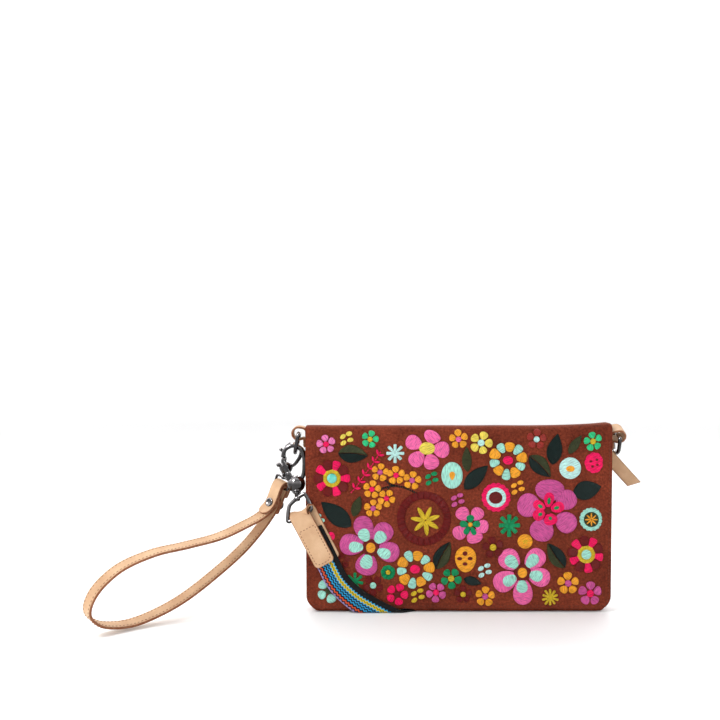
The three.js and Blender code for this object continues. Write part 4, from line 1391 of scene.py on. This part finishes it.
def make_pull():
    """Leather pull with a slanted end; no hole is cut for the slider's post."""
    turn = Matrix.Translation((SLIDER_X, 0, ZIP_Z)) @ Matrix.Rotation(math.radians(PULL_ANGLE), 4, "Y")
    half, thick = 5.75, 2.1
    stations = [(-half * math.cos(a), half * math.sin(a)) for a in np.radians(range(6, 91, 7))]
    along = [s[0] for s in stations] + list(np.arange(1, 52, 1.5))
    reach = [s[1] for s in stations] + [half] * len(np.arange(1, 52, 1.5))
    parts = Parts()
    fractions = [-1, -0.97, -0.9, -0.78, -0.6, -0.34, 0, 0.34, 0.6, 0.78, 0.9, 0.97, 1]
    end = lambda v: 55.5 + v / half * 2.7

    def rim(u, v):
        w = half - abs(v)
        if u < 0:
            w = half - math.hypot(u, v)
        return max(min(w, end(v) - u), 0)

    for side in (1, -1):
        verts, faces, uvs, edge = [], [], [], []
        lines = list(zip(along, reach))
        tail = [(t, half) for t in (0.25, 0.5, 0.75, 0.9, 0.97, 1.0)]
        count = 0
        for u, w in lines:
            for f in fractions:
                v = f * w
                d = min(rim(u, v) / (thick * 0.5), 1)
                verts.append(turn @ Vector((u, 16.05 + side * thick / 2 * math.sqrt(1 - (1 - d) ** 2), v)))
                uvs.append((u / 10, v / 10)); edge.append(1 - d)
            count += 1
        last = along[-1]
        for t, w in tail:
            for f in fractions:
                v = f * w
                u = last + (end(v) - last) * t
                d = min(rim(u, v) / (thick * 0.5), 1)
                verts.append(turn @ Vector((u, 16.05 + side * thick / 2 * math.sqrt(1 - (1 - d) ** 2), v)))
                uvs.append((u / 10, v / 10)); edge.append(1 - d)
            count += 1
        m = len(fractions)
        for i in range(count - 1):
            for j in range(m - 1):
                faces.append((i * m + j, i * m + j + 1, (i + 1) * m + j + 1, (i + 1) * m + j))
        parts.add(verts, faces, uvs, edge)
    pull = parts.build("pull_leather", NATURAL, merge=True)
    finish_piece(pull, "pull", "natural_leather", ("zip_pull",))

    parts = Parts()
    inset = half - 1.5
    line = [(5.5, inset), (52.5, inset), (50.2, -inset), (5.5, -inset)]
    for side in (1, -1):
        p = [turn @ Vector((u, 16.05 + side * (thick / 2 + 0.02), v)) for u, v in resample(np.array(line), 1.5)]
        stitches(parts, [tuple(q) for q in p], (0, side, 0), length=1.9, gap=1.0, radius=0.22)
    finish_piece(parts.build("pull_stitching", CREAM), "pull")

    parts = Parts()
    lathe(parts, [(1.75, -1.3), (2.9, -1.3), (3.1, -1.15), (3.1, -1.05), (1.75, -1.0)],
          Matrix.Translation((SLIDER_X, 16.05, ZIP_Z)) @ Matrix.Rotation(math.radians(90), 4, "X"), 32)
    finish_piece(parts.build("pull_washer", METAL), "pull", "dark_metal")


def make_slider_trim():
    """Rounded shoulders and a crown on the slider."""
    parts = Parts()
    half = 4.6
    outline = [(SLIDER_X - half, -2.6), (SLIDER_X - half, 2.6), (SLIDER_X - half + 1.6, 4.3), (SLIDER_X + 1, 4.3),
               (SLIDER_X + half, 3.4), (SLIDER_X + half, -3.4), (SLIDER_X + 1, -4.3), (SLIDER_X - half + 1.6, -4.3)]
    slab(parts, [(x, ZIP_Z + z) for x, z in outline], 12.2, 13.75, 0.6)
    finish_piece(parts.build("slider_shield", METAL), "slider", "dark_metal")


make_zip()
make_pull()
make_slider_trim()


# ---- leather loops, tabs and wrist band ---------------------------------------------------

def make_side_loop(name, cad, matrix):
    """Folded loop with its tail sewn to the case, drawn for the left side round the origin."""
    r = 5.4
    path = [(6.9, -14.6), (6.9, -8), (6.85, -1), (6.3, 3.0), (4.2, 4.6)]
    path += [(r * math.cos(a), r * math.sin(a)) for a in np.radians([75, 105, 135, 165, 195, 225, 255, 285])]
    path += [(4.2, -4.4), (5.1, -7.5), (5.2, -12)]
    p = smooth_path([(x, 0, z) for x, z in path], 0.8)
    distances = end_spacing(path_length(p), 1.2, 0)
    parts = Parts()
    ribbon(parts, at_distances(p, distances), (0, 1, 0), 15, 1.9)
    seam = Parts()
    for y in (-5.6, 5.6):
        line = [(4.15, y, z) for z in (-11.2, -6.6)]
        stitches(seam, resample(np.array(line, float), 1), (-1, 0, 0), 1.7, 0.8, 0.24)
    line = [(4.15, y, -10.6) for y in (-5, 5)]
    stitches(seam, resample(np.array(line, float), 1), (-1, 0, 0), 1.7, 0.8, 0.24)
    finish_piece(parts.build(name, NATURAL, matrix=matrix), "wallet", "natural_leather", (cad,))
    finish_piece(seam.build(name + "_stitching", CREAM, matrix=matrix), "wallet")


def tab_path(skew):
    """Centre line of the leather folded round the ring's lower bar, in the clasp's own frame."""
    def down(d, y):
        return TAB_TOP + TAB_DOWN * d + np.array([0, y, 0]) + TAB_ACROSS * skew * smoothstep(y, -2.2, 2.2)
    sides = [(TAB_LENGTH, 1.95), (24, 1.95), (6, 2.2), (0, 2.8), (-2.1, 2.1)]
    points = [down(d, y) for d, y in sides] + [down(-2.9, 0)] + [down(d, -y) for d, y in sides[::-1]]
    return smooth_path(points, 0.8), down


def make_tab(suffix, matrix, skew):
    """skew is how far the back layer sits out from behind the front one."""
    p, down = tab_path(skew)
    distances = end_spacing(path_length(p), 1.4, 4.0)
    parts = Parts()
    ribbon(parts, at_distances(p, distances), TAB_ACROSS, TAB_WIDTH, TAB_THICK, (4.0, 4.0), 9)
    tab = finish_piece(parts.build("tab_" + suffix, NATURAL, matrix=matrix), "wallet", "natural_leather",
                       ("strap_tab_" + suffix,))
    seam = Parts()
    w = TAB_WIDTH / 2 - 2.1
    for side in (-1, 1):
        y = side * (1.95 + TAB_THICK / 2 + 0.03)
        outline = [(12, -w), (TAB_LENGTH - 5, -w), (TAB_LENGTH - 2.6, -w + 2.2), (TAB_LENGTH - 2.2, 0),
                   (TAB_LENGTH - 2.6, w - 2.2), (TAB_LENGTH - 5, w), (12, w), (12, -w)]
        line = resample(np.array(outline, float), 1.0)
        stitches(seam, [down(d, y) + TAB_ACROSS * a for d, a in line], (0, side, 0), 1.5, 1.4, 0.36)
    finish_piece(seam.build("tab_stitching_" + suffix, TAN, matrix=matrix), "wallet")
    return tab


def make_wrist_band():
    across = unit((-0.66, 0.72, 0.22))
    level = unit((across[1], -across[0], 0))
    up = -np.cross(across, level)
    bar = np.array([-156.4, 16, 104.5])
    loop = [(-30, -50), (-62, -74), (-94, -92), (-126, -101.5), (-145, -102.5), (-166, -97), (-176, -86),
            (-173, -71), (-155, -54), (-125, -44.5), (-93, -42), (-60, -38.5), (-36, -31.5), (-20, -25.5)]

    def at(h, g):
        return bar + level * h + up * g

    def along(s, o):
        return at(-0.3 * s + 0.954 * o, -0.954 * s - 0.3 * o)

    ends = [(19, -2.8), (8, -2.8), (1, -3), (-2.2, -2.1), (-3.1, 0), (-2.2, 2.1), (1, 3), (8, 2.8), (24, 2.8)]
    points = [along(10, 0), along(22, 0)] + [at(h, g) for h, g in loop] + [along(s, o) for s, o in ends]
    p = smooth_path(points, 1.0)
    distances = end_spacing(path_length(p), 2.4, 2.5)
    centres = at_distances(p, distances)
    parts = Parts()
    ribbon(parts, centres, across, 12.7, 2.3, (2.5, 2.5), 9)
    finish_piece(parts.build("wrist_band", NATURAL), "wrist_loop", "natural_leather", ("wrist_strap",))
    seam = Parts()
    t = tangents(centres)
    inner = [i for i, d in enumerate(distances) if 30 < d < distances[-1] - 48]
    for side in (1, -1):
        for w in (-4.1, 4.1):
            line, normals = [], []
            for i in inner:
                wide = unit(across - t[i] * across.dot(t[i]))
                out = np.cross(t[i], wide) * side
                line.append(centres[i] + wide * w + out * 1.17)
                normals.append(out)
            stitches(seam, line, normals, 1.8, 1.5, 0.34)
    finish_piece(seam.build("wrist_stitching", TAN), "wrist_loop")
    wrap = [(8, 5.2), (1, 5.4), (-3.4, 4.2), (-5.2, 0), (-3.4, -4.2), (1, -5.3), (8, -5.1), (14, -5.1),
            (18.5, -6.0), (23.3, -8.9), (26.7, -11.5)]
    p = smooth_path([along(s, o) for s, o in wrap], 1.0)
    cover = Parts()
    ribbon(cover, at_distances(p, end_spacing(path_length(p), 1.6, 6.0)), across, 13.6, 2.0, (2.0, 6.0), 9)
    finish_piece(cover.build("wrist_tab", NATURAL), "wrist_loop", "natural_leather")
    through = level * 0.954 - up * 0.3
    cap = Parts()
    place = aim(along(16, 0), through, across)
    rim = [(0.01, 6.8), (1.8, 6.85), (2.5, 7.5), (3.2, 7.8), (4.0, 7.5), (4.3, 6.7), (4.1, 6.1), (0.01, 6.05)]
    for side in (-1, 1):
        lathe(cap, [(r, side * h) for r, h in rim][::side], place)
    tube(cap, [along(16, -6.4), along(16, 0), along(16, 6.4)], 1.3, 20)
    finish_piece(cap.build("wrist_stud", METAL), "wrist_loop", "dark_metal", ("wrist_rivet",))


LEFT = Matrix.Translation((-139.5, 0, 154))
RIGHT = (Matrix.Translation((139.5, 0, 153.5)) @ Matrix.Rotation(math.radians(20), 4, "X")
         @ Matrix.Rotation(math.pi, 4, "Z"))
make_side_loop("loop_left", "side_loop_left", LEFT)
make_side_loop("loop_right", "side_loop_right", RIGHT)
make_wrist_band()


# ---- rings and clasps -----------------------------------------------------------------------

RING_HALF, RING_DROP, RING_WIRE, BALL = 10, 17.5, 1.65, 7.9
HOOK_BEND = [(4.6, 4), (6.6, 9), (7.3, 15), (7.1, 23), (4.6, 29.8), (-2.4, 33.4), (-9.4, 30.2), (-12, 23.6)]


def make_d_ring(name, cad, matrix):
    points = [(0, 0, 0), (0, RING_HALF - 2.5, 0), (0, RING_HALF, -1.2), (0, RING_HALF, -7)]
    for i in range(1, 8):
        a = i / 8 * math.pi
        points.append((0, RING_HALF * math.cos(a), -8 - (RING_DROP - 8) * math.sin(a)))
    points += [(0, -RING_HALF, -7), (0, -RING_HALF, -1.2), (0, -RING_HALF + 2.5, 0)]
    parts = Parts()
    tube(parts, points, RING_WIRE, 24, 0.7, closed=True)
    body = frame["nodes"][cad]["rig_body"]
    finish_piece(parts.build(name, METAL, matrix=matrix), body, "dark_metal", (cad,))


def make_clasp(suffix, matrix, post_down, post_length, corners, wire):
    """Trigger clasp drawn with its ball at the origin, its hook up +Z, then placed by the matrix."""
    nodes = frame["nodes"]
    up = -unit(post_down)
    shell = aim((0, 0, 0), up, (0, 1, 0))
    parts = Parts()
    ball = [(0.01, BALL)]
    ball += [(BALL * math.cos(a), BALL * math.sin(a)) for a in np.radians(np.linspace(84, -66, 26))]
    ball += [(3.5, -7.3), (3.9, -7.9), (3.6, -8.3), (2.6, -8.3), (2.4, -7.6), (2.4, -4.2), (3.5, -4.2),
             (3.5, 1), (0.01, 1)]
    lathe(parts, ball, shell)
    tube(parts, [(x, 0, z) for x, z in HOOK_BEND],
         lambda u: 1.85 + 0.35 * math.sin(math.pi * min(u * 1.2, 1)) - 2.0 * max(u - 0.9, 0), 24, 0.7)
    lathe(parts, [(0.01, -0.7), (1.2, -0.6), (1.55, 0.0)], aim((-12, 0, 23.6), (2.6, 0, 6.6), (0, 1, 0)), 24)
    cheek = [(-2.4, 2.6), (-3.2, 6), *arc(-7, 8.2, 2.5, 20, 180, 12), (-8.6, 5.2), (-7, 2.6)]
    for low, high in ((-2.6, -1.4), (1.4, 2.6)):
        slab(parts, cheek, low, high, 0.35)
    slab(parts, [(-2.0, 3.0), (-2.8, 6.4), (2.2, 7.6), (5.0, 4.2)], -2.4, 2.4, 0.8)
    clasp = finish_piece(parts.build("hook_" + suffix, METAL, matrix=matrix), nodes["clasp_" + suffix]["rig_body"],
                         "dark_metal", ("clasp_" + suffix,))

    parts = Parts()
    pin = Matrix.Translation((-7, 0, 8.2)) @ Matrix.Rotation(math.radians(90), 4, "X")
    lathe(parts, [(0.01, -3.0), (0.8, -2.95), (1.05, -2.65), (0.6, -2.6), (0.6, 2.6), (1.05, 2.65),
                  (0.8, 2.95), (0.01, 3.0)], pin, 24)
    finish_piece(parts.build("pin_" + suffix, METAL, matrix=matrix), nodes["gate_pin_" + suffix]["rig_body"],
                 "dark_metal", ("gate_pin_" + suffix,))

    parts = Parts()
    bar = [(-13.1, 21.6), (-12.3, 22.0), (-10.6, 21.8), (-10.4, 20), (-5.0, 9.0),
           *arc(-7, 8.2, 2.1, 10, -190, 14), (-9.4, 9.6)]
    slab(parts, bar, -1.15, 1.15, 0.45)
    tube(parts, [(-11, 0, 14), (-13, 0, 15.2), (-15.2, 0, 16.6)], lambda u: 1.1 + 0.25 * u, 16, 0.5)
    cap = [(2.1 * math.cos(a), 2.1 * math.sin(a)) for a in np.radians(np.linspace(-89.5, 89.5, 18))]
    lathe(parts, cap, aim((-15.4, 0, 16.7), (-2.2, 0, 1.4), (0, 1, 0)), 28)
    gate = finish_piece(parts.build("latch_" + suffix, METAL, matrix=matrix), nodes["gate_" + suffix]["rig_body"],
                        "dark_metal", ("gate_" + suffix,))

    parts = Parts()
    post = [(0.01, -post_length), (2.1, -post_length), (2.1, -9.6), (2.7, -9.3), (2.7, -8.7), (2.1, -8.4),
            (2.1, -4.0), (3.1, -3.9), (3.1, 0.6), (0.01, 0.6)]
    lathe(parts, post, shell)
    points = []
    for i, corner in enumerate(corners):
        before = unit(corners[i - 1] - corner)
        after = unit(corners[(i + 1) % len(corners)] - corner)
        start, end = corner + before * 1.8 * wire, corner + after * 1.8 * wire
        points += [start, (start + end + corner * 2) / 4, end]
    tube(parts, points, wire, 24, 0.6, closed=True)
    high = (corners[0] + corners[1]) / 2
    dome = [(0.01, -1.9), (2.3, -1.8), (2.75, -0.6), (2.75, 0.9), (2.2, 1.6), (0.01, 1.7)]
    lathe(parts, dome, aim(high, up, (0, 1, 0)), 32)
    swivel = finish_piece(parts.build("ring_" + suffix, METAL, matrix=matrix), nodes["swivel_" + suffix]["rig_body"],
                          "dark_metal", ("swivel_" + suffix,))
    return clasp, gate, swivel


FRONT_RING = [np.array(v) for v in ((-5.6, -7.6, -17.2), (8, -7.6, -6.6), (14.5, -11.3, -20.9), (-6.9, -11.3, -32.1))]
FRONT_POST = (1.3, -7.6, -12.3)
WRIST_SCALE = 0.78


def far_matrix():
    spin = Matrix.Rotation(-math.radians(62.5), 4, "Z") @ Matrix.Rotation(math.pi / 2, 4, "X")
    tab_end = spin @ Vector(TAB_TOP + TAB_DOWN * TAB_LENGTH)
    return Matrix.Translation(Vector((0, 128, 3.8)) - tab_end) @ spin


def make_wrist_clasp():
    ball, bar = np.array([-152, 14.2, 122.6]), np.array([-156.4, 16, 104.5])
    across = unit((-0.66, 0.72, 0.22))
    place = aim(ball, np.array([-142.4, 5.2, 137.8]) - ball, (0, 1, 0))
    back = place.to_3x3().inverted()
    post = np.array(back @ Vector(bar - ball))
    length = np.linalg.norm(post) / WRIST_SCALE
    side = np.array(back @ Vector(across)) * 9.4 / WRIST_SCALE
    down = unit(post)
    high, low = down * length * 0.52, down * length
    corners = [high - side, high + side, low + side, low - side]
    make_clasp("wrist", place @ Matrix.Scale(WRIST_SCALE, 4), post, length * 0.52 + 1.9, corners, 1.65)


make_d_ring("ring_d_left", "d_ring_left", LEFT @ Matrix.Rotation(math.radians(10.7), 4, "Y"))
make_d_ring("ring_d_right", "d_ring_right",
            Matrix.Translation((139.5, 0, 153.5)) @ Matrix.Rotation(math.radians(20), 4, "X"))
make_clasp("front", Matrix.Translation(FRONT_BALL), FRONT_POST, 15.9, FRONT_RING, 1.75)
far_clasp = make_clasp("far", far_matrix(), FRONT_POST, 15.9, FRONT_RING, 1.75)
make_wrist_clasp()
make_tab("front", Matrix.Translation(FRONT_BALL), 5.4)
far_tab = make_tab("far", far_matrix(), 0.8)

[tuple(p * MM) for p in strap_line]


# ---- carried-over CAD pieces ------------------------------------------------------------------

for name in ("zip_slider", "zip_stop_closed", "zip_stop_open", "magnet_case", "magnet_flap"):
    piece = frame["nodes"][name]
    piece.data.materials.clear()
    piece.data.materials.append(METAL)
    rounded = piece.modifiers.new("rounded", "BEVEL")
    rounded.width = 0.25 * MM
    rounded.segments = 3
    rounded.limit_method = "ANGLE"
    rounded.harden_normals = True


# ---- stage and light ----------------------------------------------------------------------------

def make_stage():
    """A pale round floor that curves up into a backdrop all round, brightest behind."""
    floor, tree, shader = new_material("floor", Roughness=0.6, Specular_IOR_Level=0.2)
    where = node(tree, "SeparateXYZ", {"Vector": node(tree, "TexCoord").outputs["Object"]}).outputs
    height = node(tree, "MapRange", {"Value": where["Z"], "From Max": 0.3, "To Min": 0.05}).outputs["Result"]
    behind = {"Value": where["Y"], "From Min": -2.0, "From Max": 1.5, "To Min": 0.0, "To Max": 0.75}
    glow = maths(tree, "MULTIPLY", height, node(tree, "MapRange", behind).outputs["Result"])
    shader.inputs["Emission Color"].default_value = (1, 1, 1, 1)
    tree.links.new(glow, shader.inputs["Emission Strength"])
    shader.inputs["Base Color"].default_value = (0.91, 0.91, 0.91, 1)
    profile = [(0.001, 0), (1.0, 0), (2.2, 0)]
    profile += [(2.2 + math.sin(a), 1 - math.cos(a)) for a in np.radians(range(6, 91, 6))] + [(3.2, 2.4)]
    parts = Parts()
    turns = np.radians(range(0, 361, 6))
    parts.grid([[(r * 1000 * math.cos(a), r * 1000 * math.sin(a), z * 1000) for a in turns] for r, z in profile])
    parts.build("floor", floor)


def make_light(name, location, target, size, power):
    data = bpy.data.lights.new(name, "AREA")
    data.shape = "RECTANGLE"
    data.size, data.size_y = size
    data.energy = power
    place_lamp(name, data, location, target)


def place_lamp(name, data, location, target):
    lamp = bpy.data.objects.new(name, data)
    lamp.location = location
    lamp.rotation_euler = (Vector(target) - Vector(location)).to_track_quat("-Z", "Y").to_euler()
    scene.collection.objects.link(lamp)


def make_sun():
    data = bpy.data.lights.new("sky", "SUN")
    data.energy = 0.25
    data.angle = math.radians(70)
    place_lamp("sky", data, (0, -1.2, 3), (0, 0, 0))


def make_world():
    """Bright above and behind, darker to the front and below, which draws dark lines on the metal."""
    world = bpy.data.worlds.new("studio")
    world.use_nodes = True
    scene.world = world
    tree = world.node_tree
    where = node(tree, "SeparateXYZ", {"Vector": node(tree, "TexCoord").outputs["Generated"]})
    share = node(tree, "MapRange", {"Value": where.outputs["Y"], "From Min": -0.7, "From Max": 0.5})
    greys = [(0.0, (0.05, 0.05, 0.052)), (0.42, (0.3, 0.3, 0.305)), (0.55, (0.8, 0.8, 0.8)), (1.0, (1.0, 1.0, 1.0))]
    back = ramp(tree, share.outputs["Result"], greys)
    tree.links.new(back, tree.nodes["Background"].inputs["Color"])
    tree.nodes["Background"].inputs["Strength"].default_value = 1.0


make_stage()
make_world()
make_sun()
make_light("key", (-0.75, -0.55, 0.95), (0, 0, 0.08), (0.35, 0.35), 7.5)
make_light("fill", (1.1, -0.6, 0.5), (0, 0, 0.08), (0.1, 0.8), 1.2)
make_light("strip", (-0.9, -0.9, 0.6), (-0.1, 0, 0.1), (0.14, 1.0), 1.6)
make_light("top", (0.1, 0.7, 1.0), (0, 0, 0.03), (1.2, 0.4), 7.5)
